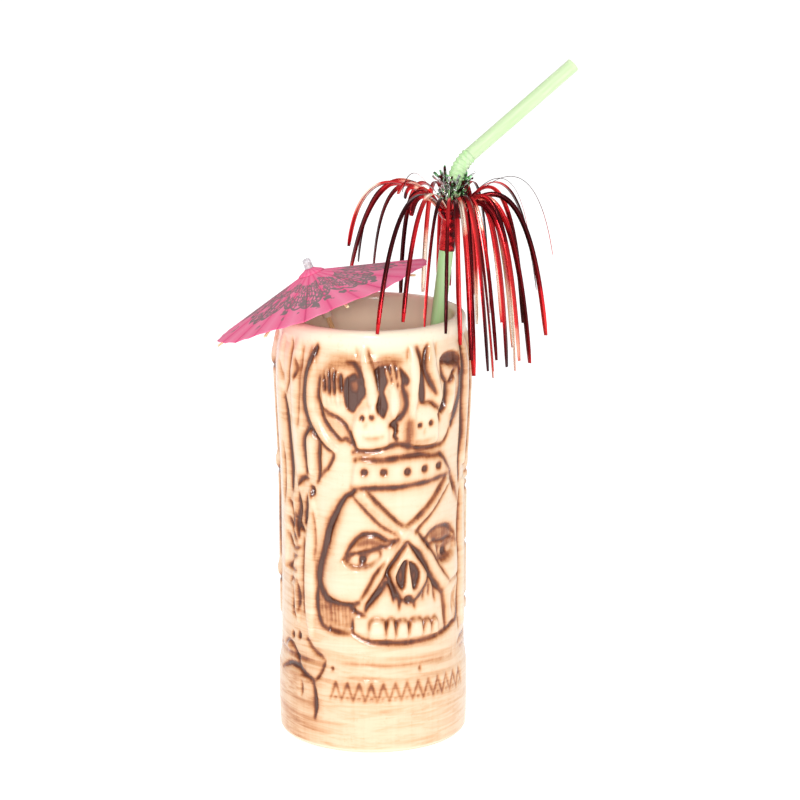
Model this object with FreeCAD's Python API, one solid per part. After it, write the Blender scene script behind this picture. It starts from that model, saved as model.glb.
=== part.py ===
"""Tiki mug with a bendy straw, a foil spray and a folding cocktail parasol.

Units are millimetres. The origin is the centre of the mug's base, +Z is up and
the carved skull faces -Y. Every piece is one file in parts/.
"""

import FreeCAD
import Part
import math
import os

V = FreeCAD.Vector
UP = V(0, 0, 1)

# Mug
MUG_HEIGHT = 168.0
WALL_RADIUS = 35.2
PLINTH_RADIUS = 36.4
PLINTH_TOP = 31.0
LIP_RADIUS = 36.2
MOUTH_RADIUS = 31.3
FLOOR_RADIUS = 30.4
FLOOR_THICKNESS = 6.0
CARVING_ROOT = 33.5

# Straw
STRAW_FOOT = V(7.0, -2.0, 6.8)
STRAW_LEAN = 7.4
STRAW_RADIUS = 2.8
STRAW_WALL = 0.25
ELBOW = 217.0
ELBOW_TANGENT = 7.0
ELBOW_BEND = 47.0
ELBOW_RINGS = 8
UPPER_END = 62.0

# Foil spray
SLEEVE_START = 185.0
SLEEVE_LENGTH = 11.8
BINDING_START = 197.0
BINDING_LENGTH = 6.4
BINDING_RADIUS = 5.4
TUFT_START = 203.7
TUFT_LENGTH = 9.8
TUFT_RADIUS = 8.0
TUFT_POINTS = 13
STRAND_ROOT = 200.2
STRAND_WIDTH = 1.3
STRAND_THICKNESS = 0.22
STRAND_FLATS = 14

# Parasol, about its crown hinge circle
CROWN_CENTRE = V(-17.9, 17.2, 180.6)
PARASOL_LEAN = 21.5
PARASOL_BEARING = 140.0
RIB_COUNT = 8
RIB_OFFSET = 30.0
OPEN_ANGLE = 74.0
HINGE_RADIUS = 2.9
RIB_LENGTH = 43.2
RIB_WIDTH = 1.0
RIB_DEPTH = 0.9
PIN_DISTANCE = 22.0
STRUT_LENGTH = 20.9
STRUT_FOOT_RADIUS = 3.3
STRUT_WIDTH = 0.9
STRUT_DEPTH = 0.8
PIN_RADIUS = 0.3
STICK_RADIUS = 1.0
STICK_TOP = 5.0
STICK_FOOT = -92.0
CROWN_RADIUS = 3.9
CROWN_TOP = 1.15
CROWN_FOOT = -2.2
SLOT_WIDTH = 1.16
CROWN_SLOT_FLOOR = 2.3
THREAD_RADIUS = 0.2
RUNNER_LENGTH = 8.0
RUNNER_RADIUS = 4.2
RUNNER_SLOT_FLOOR = 2.1
CANOPY_THICKNESS = 0.25
CANOPY_LIFT = 0.86
CANOPY_SLANT = 42.4

# Strands: name of the bunch, bearing, reach, rise over the binding, height of the end
STRANDS = (
    ("right", -25, 36, 6, -50),
    ("right", -7, 30, 8, -44),
    ("right", 11, 34, 7, -52),
    ("back", 29, 27, 9, -46),
    ("back", 47, 30, 8, -40),
    ("back", 65, 27, 7, -36),
    ("back", 83, 35, 8, -40),
    ("left", 101, 50, 9, -22),
    ("left", 117, 24, 9, 3),
    ("left", 136, 19, 8, 3),
    ("left", 155, 17, 7, 1),
    ("left", 173, 18, 7, 1),
    ("left", 191, 20, 7, 0),
    ("front", 215, 57, 10, -38),
    ("front", 232, 47, 8, -36),
    ("front", 249, 42, 7, -44),
    ("front", 266, 37, 8, -56),
    ("front", 283, 26, 6, -62),
    ("right", 300, 30, 5, -62),
    ("right", 317, 28, 7, -58),
)


def save(name, shape):
    """Write one piece to its own file."""
    shape.exportStep("parts/" + name + ".step")


def revolved(points):
    """A solid turned about Z from its half section, given as (radius, height) pairs."""
    corners = [V(r, 0, z) for r, z in points]
    section = Part.Face(Part.makePolygon(corners + corners[:1]))
    return section.revolve(V(0, 0, 0), UP, 360)


def on_wall(azimuth, height, radius):
    """A point on the mug's wall. Azimuth is in degrees from the skull's nose toward +X."""
    turn = math.radians(azimuth)
    return V(radius * math.sin(turn), -radius * math.cos(turn), height)


# Mug


def mug_blank():
    """The thrown form: plinth, wall, rolled lip, open cavity and flat base."""
    outline = [
        V(0, 0, 0),
        V(PLINTH_RADIUS - 2.2, 0, 0),
        V(PLINTH_RADIUS, 0, 2.4),
        V(PLINTH_RADIUS + 0.2, 0, PLINTH_TOP - 3),
        V(WALL_RADIUS, 0, PLINTH_TOP + 3),
        V(WALL_RADIUS, 0, 96),
        V(WALL_RADIUS + 1.0, 0, 128),
        V(WALL_RADIUS + 1.1, 0, 150),
        V(LIP_RADIUS - 0.9, 0, MUG_HEIGHT - 9),
        V(LIP_RADIUS, 0, MUG_HEIGHT - 6),
        V(LIP_RADIUS, 0, MUG_HEIGHT - 2.4),
    ]
    inside = [
        V(MOUTH_RADIUS, 0, MUG_HEIGHT - 2.4),
        V(MOUTH_RADIUS - 0.1, 0, MUG_HEIGHT - 10),
        V(FLOOR_RADIUS, 0, FLOOR_THICKNESS + 7),
        V(FLOOR_RADIUS - 2.0, 0, FLOOR_THICKNESS + 2.2),
        V(FLOOR_RADIUS - 6.0, 0, FLOOR_THICKNESS),
        V(0, 0, FLOOR_THICKNESS),
        V(0, 0, 0),
    ]
    lip_top = V((LIP_RADIUS + MOUTH_RADIUS) / 2, 0, MUG_HEIGHT)
    lip = Part.Arc(outline[-1], lip_top, inside[0]).toShape()
    edges = Part.makePolygon(outline).Edges + [lip] + Part.makePolygon(inside).Edges
    section = Part.Face(Part.Wire(edges))
    return section.revolve(V(0, 0, 0), UP, 360)


def carving(outline, proud):
    """A raised pad on the wall. The outline is (azimuth, height) pairs."""
    turns = [a for a, _ in outline]
    middle = (min(turns) + max(turns)) / 2
    flat = [V(WALL_RADIUS * math.sin(math.radians(a - middle)), -20, z) for a, z in outline]
    slab = Part.Face(Part.makePolygon(flat + flat[:1])).extrude(V(0, -30, 0))
    slab.rotate(V(0, 0, 0), UP, middle)
    outer = Part.makeCylinder(WALL_RADIUS + proud, 200)
    core = Part.makeCylinder(CARVING_ROOT, 200)
    return slab.common(outer).cut(core)


def limb(centres, width, proud):
    """A raised limb or root that follows a line of (azimuth, height) points."""
    half = math.degrees(width / 2 / WALL_RADIUS)
    left = [(a - half, z) for a, z in centres]
    right = [(a + half, z) for a, z in reversed(centres)]
    return carving(left + right, proud)


def band(start, end, width, proud):
    """A straight raised strap between two (azimuth, height) points."""
    run = math.radians(end[0] - start[0]) * WALL_RADIUS
    rise = end[1] - start[1]
    length = math.hypot(run, rise)
    across = math.degrees(rise / length * width / 2 / WALL_RADIUS)
    up = -run / length * width / 2
    outline = [
        (start[0] + across, start[1] + up),
        (end[0] + across, end[1] + up),
        (end[0] - across, end[1] - up),
        (start[0] - across, start[1] - up),
    ]
    return carving(outline, proud)


def skull():
    """The raised skull: face plate, headband, crossed straps, nose plate and teeth."""
    face = [(-38, 101), (-50, 92), (-57, 78), (-58, 62), (-50, 53), (-36, 46), (-18, 43)]
    face += [(0, 42), (18, 43), (36, 46), (50, 55), (55, 66), (54, 80), (46, 93), (32, 102)]
    nose = [(-1, 84), (-14, 71), (-2, 60), (12, 70)]
    teeth = [(-28, 55), (-29, 48), (-14, 44.5), (2, 44), (18, 45), (26, 49), (25, 57), (-2, 60)]
    return [
        carving(face, 1.2),
        carving([(-37, 106), (30, 107), (27, 117), (-33, 118)], 1.9),
        band((-34, 104), (30, 63), 5.0, 1.8),
        band((28, 101), (-33, 60), 5.0, 2.0),
        carving(nose, 2.7),
        carving(teeth, 2.3),
    ]


def skull_hollows():
    """Eye sockets, nasal cavity, stud pits and the gaps between the teeth."""
    sockets = [Part.makeSphere(8.0, on_wall(a, z, WALL_RADIUS + 6.4)) for a, z in ((-28, 78), (29, 79))]
    nasal = [Part.makeSphere(2.4, on_wall(a, 69, WALL_RADIUS + 2.2)) for a in (-6.0, 2.0)]
    studs = [Part.makeSphere(1.5, on_wall(a, 112.5, WALL_RADIUS + 2.4)) for a in (-29, -17, -4, 9, 20)]
    gaps = [limb([(a, 45.5), (a, 51.5)], 0.7, 4.0) for a in (-20, -11, -2, 7, 16)]
    root = Part.makeCylinder(WALL_RADIUS + 1.5, 200)
    return sockets + nasal + studs + [g.cut(root) for g in gaps]


def hood():
    """Arms, bones, ghost heads and roots that wrap the wall round the skull."""
    front = [
        limb([(-56, 162), (-61, 146), (-58, 134), (-46, 121)], 5.4, 2.4),
        limb([(-33, 162), (-25, 150), (-20, 141), (-15, 131)], 5.6, 2.2),
        limb([(-2, 160), (6, 149), (9, 140)], 5.0, 2.0),
        limb([(24, 160), (31, 146), (33, 126)], 5.4, 2.2),
        limb([(-64, 128), (-66, 104), (-68, 74), (-66, 42)], 6.4, 1.9),
        limb([(60, 128), (64, 104), (66, 74), (62, 42)], 6.4, 1.9),
    ]
    heads = [
        carving([(-37, 123), (-36, 134), (-29, 139), (-20, 137), (-16, 128), (-18, 122)], 1.7),
        carving([(-2, 122), (-3, 132), (2, 139), (11, 138), (15, 129), (13, 122)], 1.7),
    ]
    roots = []
    for n in range(9):
        a = 90 + n * 22.5
        sway = 5 if n % 2 else -5
        roots.append(limb([(a, 158), (a + sway, 120), (a - sway, 80), (a, 40)], 7.0, 1.6))
    return front + heads + roots


def mug():
    """The cast body with all its carving."""
    body = mug_blank().multiFuse(skull() + hood())
    return body.cut(Part.makeCompound(skull_hollows())).removeSplitter()


# Straw


def straw_place():
    """Where the straw's own frame stands: its foot, with its axis leaning toward +X."""
    return FreeCAD.Placement(STRAW_FOOT, FreeCAD.Rotation(V(0, 1, 0), STRAW_LEAN))


def along_straw(shape):
    """Move a piece made on the Z axis onto the straw."""
    shape.Placement = straw_place().multiply(shape.Placement)
    return shape


def tube(start, end, outer, inner):
    """A round tube on the Z axis."""
    solid = Part.makeCylinder(outer, end - start, V(0, 0, start))
    return solid.cut(Part.makeCylinder(inner, end - start, V(0, 0, start)))


def lower_tube():
    return along_straw(tube(0, ELBOW - ELBOW_TANGENT, STRAW_RADIUS, STRAW_RADIUS - STRAW_WALL))


def upper_tube():
    """The drinking end, beyond the elbow."""
    solid = tube(ELBOW_TANGENT, UPPER_END, STRAW_RADIUS, STRAW_RADIUS - STRAW_WALL)
    solid.rotate(V(0, 0, 0), V(0, 1, 0), ELBOW_BEND)
    solid.translate(V(0, 0, ELBOW))
    return along_straw(solid)


def bellows():
    """The corrugated elbow: a bent tube with a ring on each fold."""
    bend = ELBOW_TANGENT / math.tan(math.radians(ELBOW_BEND / 2))
    start = ELBOW - ELBOW_TANGENT
    centre = V(bend, 0, start)
    core = Part.makeTorus(bend, STRAW_RADIUS - 0.15, V(0, 0, 0), UP, -180, 180, ELBOW_BEND)
    bore = Part.makeTorus(bend, STRAW_RADIUS - 0.4, V(0, 0, 0), UP, -180, 180, ELBOW_BEND)
    rings = []
    for n in range(ELBOW_RINGS):
        turn = ELBOW_BEND * (n + 0.5) / ELBOW_RINGS
        ring = Part.makeTorus(STRAW_RADIUS - 0.15, 0.3, V(bend, 0, 0), V(0, 1, 0))
        ring.rotate(V(0, 0, 0), UP, turn)
        rings.append(ring)
    solid = core.multiFuse(rings).cut(bore)
    axes = FreeCAD.Rotation(V(-1, 0, 0), V(0, 0, 1), V(0, 1, 0), "XYZ")
    solid.Placement = FreeCAD.Placement(centre, axes)
    return along_straw(solid)


# Foil spray


def binding():
    """The wound foil that holds the strands."""
    inner = STRAW_RADIUS + 0.05
    end = BINDING_START + BINDING_LENGTH
    profile = [
        (inner, BINDING_START),
        (BINDING_RADIUS - 1.2, BINDING_START),
        (BINDING_RADIUS, BINDING_START + 2),
        (BINDING_RADIUS, end - 2),
        (BINDING_RADIUS - 1.2, end),
        (inner, end),
    ]
    return along_straw(revolved(profile))


def star(radius, height, twist):
    """A pointed star outline round the straw."""
    corners = []
    for n in range(2 * TUFT_POINTS):
        reach = radius if n % 2 else radius * 0.62
        turn = math.radians(n * 180 / TUFT_POINTS + twist)
        corners.append(V(reach * math.cos(turn), reach * math.sin(turn), height))
    return Part.makePolygon(corners + corners[:1])


def tuft():
    """The crinkled foil heart of the spray, open round the straw."""
    levels = [
        star(TUFT_RADIUS * 0.66, TUFT_START, 0),
        star(TUFT_RADIUS, TUFT_START + TUFT_LENGTH * 0.55, 6),
        star(TUFT_RADIUS * 0.74, TUFT_START + TUFT_LENGTH, 12),
    ]
    solid = Part.makeLoft(levels, True, True)
    hole = Part.makeCylinder(STRAW_RADIUS + 0.75, 30, V(0, 0, TUFT_START - 5))
    return along_straw(solid.cut(hole))


def strand_root():
    """The middle of the binding, where the strands leave."""
    return straw_place().multVec(V(0, 0, STRAND_ROOT))


def strand(bearing, reach, rise, end):
    """One foil strip that arches out of the binding and hangs, folded in short flats."""
    start = BINDING_RADIUS + 0.25
    pull = rise + math.sqrt(rise * rise - rise * end)
    arch = Part.BezierCurve()
    arch.setPoles([V(start, 0, 0), V(reach, 0, pull), V(reach, 0, end)])
    steps = [n / STRAND_FLATS for n in range(STRAND_FLATS + 1)]
    side = V(0, -STRAND_WIDTH / 2, 0)
    top = [arch.value(t) + side for t in steps]
    under = [arch.tangent(t)[0].cross(V(0, 1, 0)) * STRAND_THICKNESS for t in steps]
    low = [point + drop for point, drop in zip(top, under)]
    outline = top + low[::-1]
    solid = Part.Face(Part.makePolygon(outline + outline[:1])).extrude(V(0, STRAND_WIDTH, 0))
    solid.rotate(V(0, 0, 0), UP, bearing)
    solid.translate(strand_root())
    return solid


def strand_bunch(name):
    """All the strips of one bunch."""
    return Part.makeCompound([strand(*s[1:]) for s in STRANDS if s[0] == name])


# Parasol


def parasol_place():
    """Where the parasol's own frame stands: its crown, with its stick leaning."""
    turn = FreeCAD.Rotation(UP, PARASOL_BEARING)
    tilt = FreeCAD.Rotation(V(0, 1, 0), PARASOL_LEAN)
    return FreeCAD.Placement(CROWN_CENTRE, turn.multiply(tilt))


def on_parasol(shape):
    """Move a piece made on the Z axis onto the parasol."""
    shape.Placement = parasol_place().multiply(shape.Placement)
    return shape


def about_stick(shape, number):
    """Turn a piece made in the XZ plane to the place of one rib."""
    shape.rotate(V(0, 0, 0), UP, RIB_OFFSET + number * 360 / RIB_COUNT)
    return on_parasol(shape)


def slots(low, high, floor):
    """The radial slots that the ribs or struts turn in."""
    cuts = []
    for n in range(RIB_COUNT):
        cut = Part.makeBox(4, SLOT_WIDTH, high - low, V(floor, -SLOT_WIDTH / 2, low))
        cut.rotate(V(0, 0, 0), UP, RIB_OFFSET + n * 360 / RIB_COUNT)
        cuts.append(cut)
    return Part.makeCompound(cuts)


def crown():
    """The slotted hub at the top of the stick, with a groove for the thread."""
    body = tube(CROWN_FOOT, CROWN_TOP, CROWN_RADIUS, STICK_RADIUS + 0.05)
    groove = tube(-THREAD_RADIUS - 0.05, THREAD_RADIUS + 0.05, 5, HINGE_RADIUS - THREAD_RADIUS - 0.05)
    cuts = slots(CROWN_FOOT - 1, RIB_DEPTH / 2 + 0.25, CROWN_SLOT_FLOOR)
    return on_parasol(body.cut(cuts).cut(groove))


def thread():
    """The thread that the ribs hinge on."""
    return on_parasol(Part.makeTorus(HINGE_RADIUS, THREAD_RADIUS))


def stick():
    return on_parasol(Part.makeCylinder(STICK_RADIUS, STICK_TOP - STICK_FOOT, V(0, 0, STICK_FOOT)))


def tip_sleeve():
    """The clear cap pushed over the end of the stick."""
    profile = [
        (STICK_RADIUS + 0.05, CROWN_TOP + 0.5),
        (1.75, CROWN_TOP + 0.5),
        (1.6, STICK_TOP + 0.9),
        (1.1, STICK_TOP + 1.5),
        (0, STICK_TOP + 1.5),
        (0, STICK_TOP + 0.05),
        (STICK_RADIUS + 0.05, STICK_TOP + 0.05),
    ]
    return on_parasol(revolved(profile))


def canopy():
    """The paper, a shallow cone that puckers up over the crown."""
    slope = math.radians(OPEN_ANGLE)
    out = V(math.sin(slope), 0, -math.cos(slope))
    lift = V(math.cos(slope), 0, math.sin(slope))
    skin = lift * CANOPY_THICKNESS
    near = V(HINGE_RADIUS, 0, 0) + out * 3.6 + lift * CANOPY_LIFT
    far = V(HINGE_RADIUS, 0, 0) + out * CANOPY_SLANT + lift * CANOPY_LIFT
    hole = V(STICK_RADIUS + 0.1, 0, CROWN_TOP + 0.05)
    brim = V(CROWN_RADIUS + 0.15, 0, CROWN_TOP + 0.05)
    raise_up = V(0, 0, CANOPY_THICKNESS)
    corners = [hole, brim, near, far, far + skin, near + skin, brim + raise_up, hole + raise_up]
    return on_parasol(revolved([(c.x, c.z) for c in corners]))


def bar(length, width, depth, root, tail):
    """A flat stick along +X from a round-ended root at the origin."""
    body = Part.makeBox(length, width, depth, V(0, -width / 2, -depth / 2))
    knuckle = Part.makeCylinder(root, width, V(0, -width / 2, 0), V(0, 1, 0))
    solid = body.fuse(knuckle)
    return solid.cut(Part.makeBox(tail, width, 4, V(length - tail, -width / 2, depth / 2 - 0.25)))


def hole_across(distance, radius):
    return Part.makeCylinder(radius, 6, V(distance, -3, 0), V(0, 1, 0))


def open_rib(shape):
    """Swing a piece made along +X down to the rib's open angle, on the hinge circle."""
    shape.rotate(V(0, 0, 0), V(0, 1, 0), 90 - OPEN_ANGLE)
    shape.translate(V(HINGE_RADIUS, 0, 0))
    return shape


def rib(number):
    """A wooden rib with a thread hole at its root and a pin hole at the strut."""
    solid = bar(RIB_LENGTH, RIB_WIDTH, RIB_DEPTH, RIB_DEPTH / 2, 3)
    solid = solid.cut(hole_across(0, THREAD_RADIUS + 0.12))
    solid = solid.cut(hole_across(PIN_DISTANCE, PIN_RADIUS + 0.02))
    return about_stick(open_rib(solid), number)


def pin(number):
    """The pin that joins a strut to its rib."""
    solid = Part.makeCylinder(PIN_RADIUS, 2.3, V(PIN_DISTANCE, -1.15, 0), V(0, 1, 0))
    return about_stick(open_rib(solid), number)


def strut(number):
    """A strut, forked round its rib, that runs back to the runner's slot."""
    neck = STRUT_LENGTH - 3.2
    blade = Part.makeBox(neck, STRUT_WIDTH, STRUT_DEPTH, V(0, -STRUT_WIDTH / 2, -STRUT_DEPTH / 2))
    knuckle = Part.makeCylinder(STRUT_DEPTH / 2, STRUT_WIDTH, V(0, -STRUT_WIDTH / 2, 0), V(0, 1, 0))
    fork = Part.makeBox(4.4, 2.1, STRUT_DEPTH, V(neck - 1.2, -1.05, -STRUT_DEPTH / 2))
    eye = Part.makeCylinder(0.55, 2.1, V(STRUT_LENGTH, -1.05, 0), V(0, 1, 0))
    gap = Part.makeBox(6, RIB_WIDTH + 0.2, 4, V(neck, -RIB_WIDTH / 2 - 0.1, -2))
    solid = blade.multiFuse([knuckle, fork, eye]).cut(gap)
    solid = solid.cut(hole_across(STRUT_LENGTH, PIN_RADIUS + 0.06))
    solid.rotate(V(0, 0, 0), V(0, 1, 0), strut_angle() - 90)
    solid.translate(V(STRUT_FOOT_RADIUS, 0, runner_height()))
    return about_stick(solid, number)


def strut_angle():
    """The angle between a strut and the stick with the parasol open, in degrees."""
    pin_radius = HINGE_RADIUS + PIN_DISTANCE * math.sin(math.radians(OPEN_ANGLE))
    return math.degrees(math.asin((pin_radius - STRUT_FOOT_RADIUS) / STRUT_LENGTH))


def runner_height():
    """The height of the struts' feet with the parasol open, in the parasol's frame."""
    rib_drop = PIN_DISTANCE * math.cos(math.radians(OPEN_ANGLE))
    return -rib_drop - STRUT_LENGTH * math.cos(math.radians(strut_angle()))


def runner():
    """The slotted hub that slides on the stick. Its slots are open at both ends."""
    low = runner_height() - RUNNER_LENGTH / 2
    high = runner_height() + RUNNER_LENGTH / 2
    body = tube(low, high, RUNNER_RADIUS, STICK_RADIUS + 0.08)
    return on_parasol(body.cut(slots(low - 1, high + 1, RUNNER_SLOT_FLOOR)))


def stop_sleeve():
    """The short tube under the runner that grips the stick and holds the parasol open."""
    high = runner_height() - RUNNER_LENGTH / 2 - 0.1
    return on_parasol(tube(high - 5, high, 1.9, STICK_RADIUS + 0.06))


def main():
    os.makedirs("parts", exist_ok=True)
    save("mug_body", mug())
    save("straw_lower_tube", lower_tube())
    save("straw_bellows", bellows())
    save("straw_upper_tube", upper_tube())
    sleeve = tube(SLEEVE_START, SLEEVE_START + SLEEVE_LENGTH, 3.2, STRAW_RADIUS + 0.05)
    save("foil_sleeve", along_straw(sleeve))
    save("foil_binding", binding())
    save("foil_tuft", tuft())
    for name in ("front", "right", "back", "left"):
        save("foil_strands_" + name, strand_bunch(name))
    save("parasol_stick", stick())
    save("parasol_tip_sleeve", tip_sleeve())
    save("parasol_crown", crown())
    save("parasol_thread", thread())
    save("parasol_canopy", canopy())
    save("parasol_runner", runner())
    save("parasol_stop_sleeve", stop_sleeve())
    for number in range(RIB_COUNT):
        label = str(number + 1)
        save("parasol_rib_" + label, rib(number))
        save("parasol_pin_" + label, pin(number))
        save("parasol_strut_" + label, strut(number))


main()
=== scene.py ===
"""Carved tiki mug with its bar garnish: a bendy straw with a foil spray and a folding paper parasol."""

import logging
import math
from dataclasses import dataclass, field
from enum import Enum
from functools import cached_property
from typing import Callable, Iterable, Sequence

import bpy
import numpy as np
from mathutils import Matrix, Vector


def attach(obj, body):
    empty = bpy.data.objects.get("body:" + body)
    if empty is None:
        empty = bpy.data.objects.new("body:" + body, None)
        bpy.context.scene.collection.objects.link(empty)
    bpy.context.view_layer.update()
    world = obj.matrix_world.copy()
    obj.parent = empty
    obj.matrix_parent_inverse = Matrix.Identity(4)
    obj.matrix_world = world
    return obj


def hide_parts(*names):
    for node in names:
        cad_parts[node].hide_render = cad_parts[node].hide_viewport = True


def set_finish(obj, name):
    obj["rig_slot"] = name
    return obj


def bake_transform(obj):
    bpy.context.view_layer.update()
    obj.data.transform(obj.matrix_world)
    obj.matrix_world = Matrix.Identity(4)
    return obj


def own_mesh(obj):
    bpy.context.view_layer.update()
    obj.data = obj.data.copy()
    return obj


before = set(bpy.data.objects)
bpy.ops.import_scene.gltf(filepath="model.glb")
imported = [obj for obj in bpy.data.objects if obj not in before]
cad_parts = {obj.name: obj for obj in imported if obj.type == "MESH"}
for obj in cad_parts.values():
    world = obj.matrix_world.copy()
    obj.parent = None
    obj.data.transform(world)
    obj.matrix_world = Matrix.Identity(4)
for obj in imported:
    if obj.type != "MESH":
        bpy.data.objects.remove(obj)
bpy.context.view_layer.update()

MM = 0.001
LOG = logging.getLogger("tiki_mug")
Object = bpy.types.Object
Material = bpy.types.Material
Tree = bpy.types.NodeTree
Node = bpy.types.Node
Socket = bpy.types.NodeSocket
Pair = tuple[float, float]
Triple = tuple[float, float, float]
Face = tuple[int, ...]
Skin = tuple[np.ndarray, list[Face]]
Group = tuple["Wiring", Node, Node]
Index = tuple[np.ndarray, ...]
Colour = tuple[float, ...]
Stops = tuple[tuple[float, Colour], ...]


class Bunch(Enum):
    """The four bunches of foil ribbons, named by the side that they hang on."""

    FRONT = "front"
    RIGHT = "right"
    BACK = "back"
    LEFT = "left"


class Paper(Enum):
    """The two faces of the parasol's paper."""

    PRINTED = 1.0
    PLAIN = 0.0


# ---------------------------------------------------------------- colours and small maths


def srgb(red: float, green: float, blue: float) -> Colour:
    """Turns a display colour into the linear one that shaders take.

    Args:
        red: Red, 0 to 255.
        green: Green, 0 to 255.
        blue: Blue, 0 to 255.

    Returns:
        The linear colour with full alpha.
    """

    def linear(value: float) -> float:
        """One channel of the display curve undone."""
        share = value / 255.0
        return share / 12.92 if share <= 0.04045 else ((share + 0.055) / 1.055) ** 2.4

    return linear(red), linear(green), linear(blue), 1.0


def smooth(low: float, high: float, value: np.ndarray) -> np.ndarray:
    """A soft step from 0 at low to 1 at high.

    Args:
        low: Where the step starts.
        high: Where the step ends.
        value: The values to map.

    Returns:
        The step at each value.
    """
    share = np.clip((value - low) / (high - low), 0.0, 1.0)
    return share * share * (3.0 - 2.0 * share)


def flowing(points: Sequence[Sequence[float]], steps: int = 5) -> np.ndarray:
    """Runs a smooth line through a few points.

    Args:
        points: The points that the line goes through.
        steps: How many pieces each span is drawn in.

    Returns:
        The line's points.
    """
    known = np.array(points, float)
    if len(known) < 3:
        return known
    padded = np.vstack([2 * known[0] - known[1], known, 2 * known[-1] - known[-2]])
    line = []
    for index in range(1, len(padded) - 2):
        before, here, there, after = padded[index - 1 : index + 3]
        for share in np.arange(steps) / steps:
            line.append(
                0.5
                * (
                    2 * here
                    + (there - before) * share
                    + (2 * before - 5 * here + 4 * there - after) * share**2
                    + (3 * here - before - 3 * there + after) * share**3
                )
            )
    line.append(padded[-2])
    return np.array(line)


# ---------------------------------------------------------------- meshes


def piece(
    name: str,
    points: np.ndarray,
    faces: Iterable[Face],
    material: Material,
    slot: str,
    rounded: bool = True,
) -> Object:
    """Makes one visible piece from points in millimetres.

    Args:
        name: The piece's name.
        points: Its points in millimetres, in the row frame.
        faces: Its faces, as point numbers.
        material: Its finish.
        slot: The record slot that the finish belongs to.
        rounded: Whether its faces are shaded smoothly.

    Returns:
        The new object, in the scene and in place.
    """
    mesh = bpy.data.meshes.new(name)
    mesh.from_pydata((np.asarray(points, float) * MM).tolist(), [], [tuple(f) for f in faces])
    mesh.polygons.foreach_set("use_smooth", [rounded] * len(mesh.polygons))
    mesh.materials.append(material)
    mesh.update()
    made = bpy.data.objects.new(name, mesh)
    bpy.context.scene.collection.objects.link(made)
    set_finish(made, slot)
    LOG.info("%s: %d faces", name, len(mesh.polygons))
    return made


def mark(made: Object, name: str, values: np.ndarray) -> None:
    """Writes one number on every point of a piece, for its finish to read.

    Args:
        made: The piece.
        name: The number's name.
        values: The numbers, one for each point.
    """
    layer = made.data.attributes.new(name, "FLOAT", "POINT")
    layer.data.foreach_set("value", np.asarray(values, np.float32))


def grid_faces(rows: int, columns: int, closed: bool) -> list[Face]:
    """The faces of a grid of points, row after row.

    Args:
        rows: How many rows of points.
        columns: How many points in a row.
        closed: Whether the last point of a row joins its first.

    Returns:
        The faces.
    """
    spans = columns if closed else columns - 1
    faces = []
    for row in range(rows - 1):
        for column in range(spans):
            beside = (column + 1) % columns
            low, high = row * columns, (row + 1) * columns
            faces.append((low + column, low + beside, high + beside, high + column))
    return faces


def ring_faces(rings: int, sides: int) -> list[Face]:
    """The faces of a skin of rings whose last ring joins its first.

    Args:
        rings: How many rings.
        sides: How many points a ring has.

    Returns:
        The faces.
    """
    last = (rings - 1) * sides
    seam = [(last + side, last + (side + 1) % sides, (side + 1) % sides, side) for side in range(sides)]
    return grid_faces(rings, sides, True) + seam


def frames_along(path: np.ndarray, side: Sequence[float]) -> tuple[np.ndarray, np.ndarray]:
    """Two directions across a path at each of its points, turned as little as they can be.

    Args:
        path: The path's points.
        side: The direction that the first frame starts from.

    Returns:
        The two unit directions across the path.
    """
    run = np.gradient(path, axis=0)
    run /= np.linalg.norm(run, axis=1)[:, None]
    first, second = [], []
    carried = np.array(side, float)
    for direction in run:
        carried = carried - direction * (carried @ direction)
        carried = carried / np.linalg.norm(carried)
        first.append(carried)
        second.append(np.cross(direction, carried))
    return np.array(first), np.array(second)


def ring(
    centre: np.ndarray, radius: object, angles: np.ndarray, first: np.ndarray, second: np.ndarray
) -> np.ndarray:
    """A ring of points round a centre.

    Args:
        centre: Its centre.
        radius: Its radius, or one for each angle.
        angles: The angles round it.
        first: The direction of angle 0.
        second: The direction a quarter turn on.

    Returns:
        The ring's points.
    """
    across = np.cos(angles)[:, None] * first + np.sin(angles)[:, None] * second
    return centre + np.broadcast_to(radius, angles.shape)[:, None] * across


def join(parts: Iterable[Skin]) -> Skin:
    """Puts several skins into one.

    Args:
        parts: The skins' points and faces.

    Returns:
        All their points and faces.
    """
    points, faces, count = [], [], 0
    for some_points, some_faces in parts:
        points.append(some_points)
        faces += [tuple(number + count for number in face) for face in some_faces]
        count += len(some_points)
    return np.vstack(points), faces


# ---------------------------------------------------------------- shader building


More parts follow.
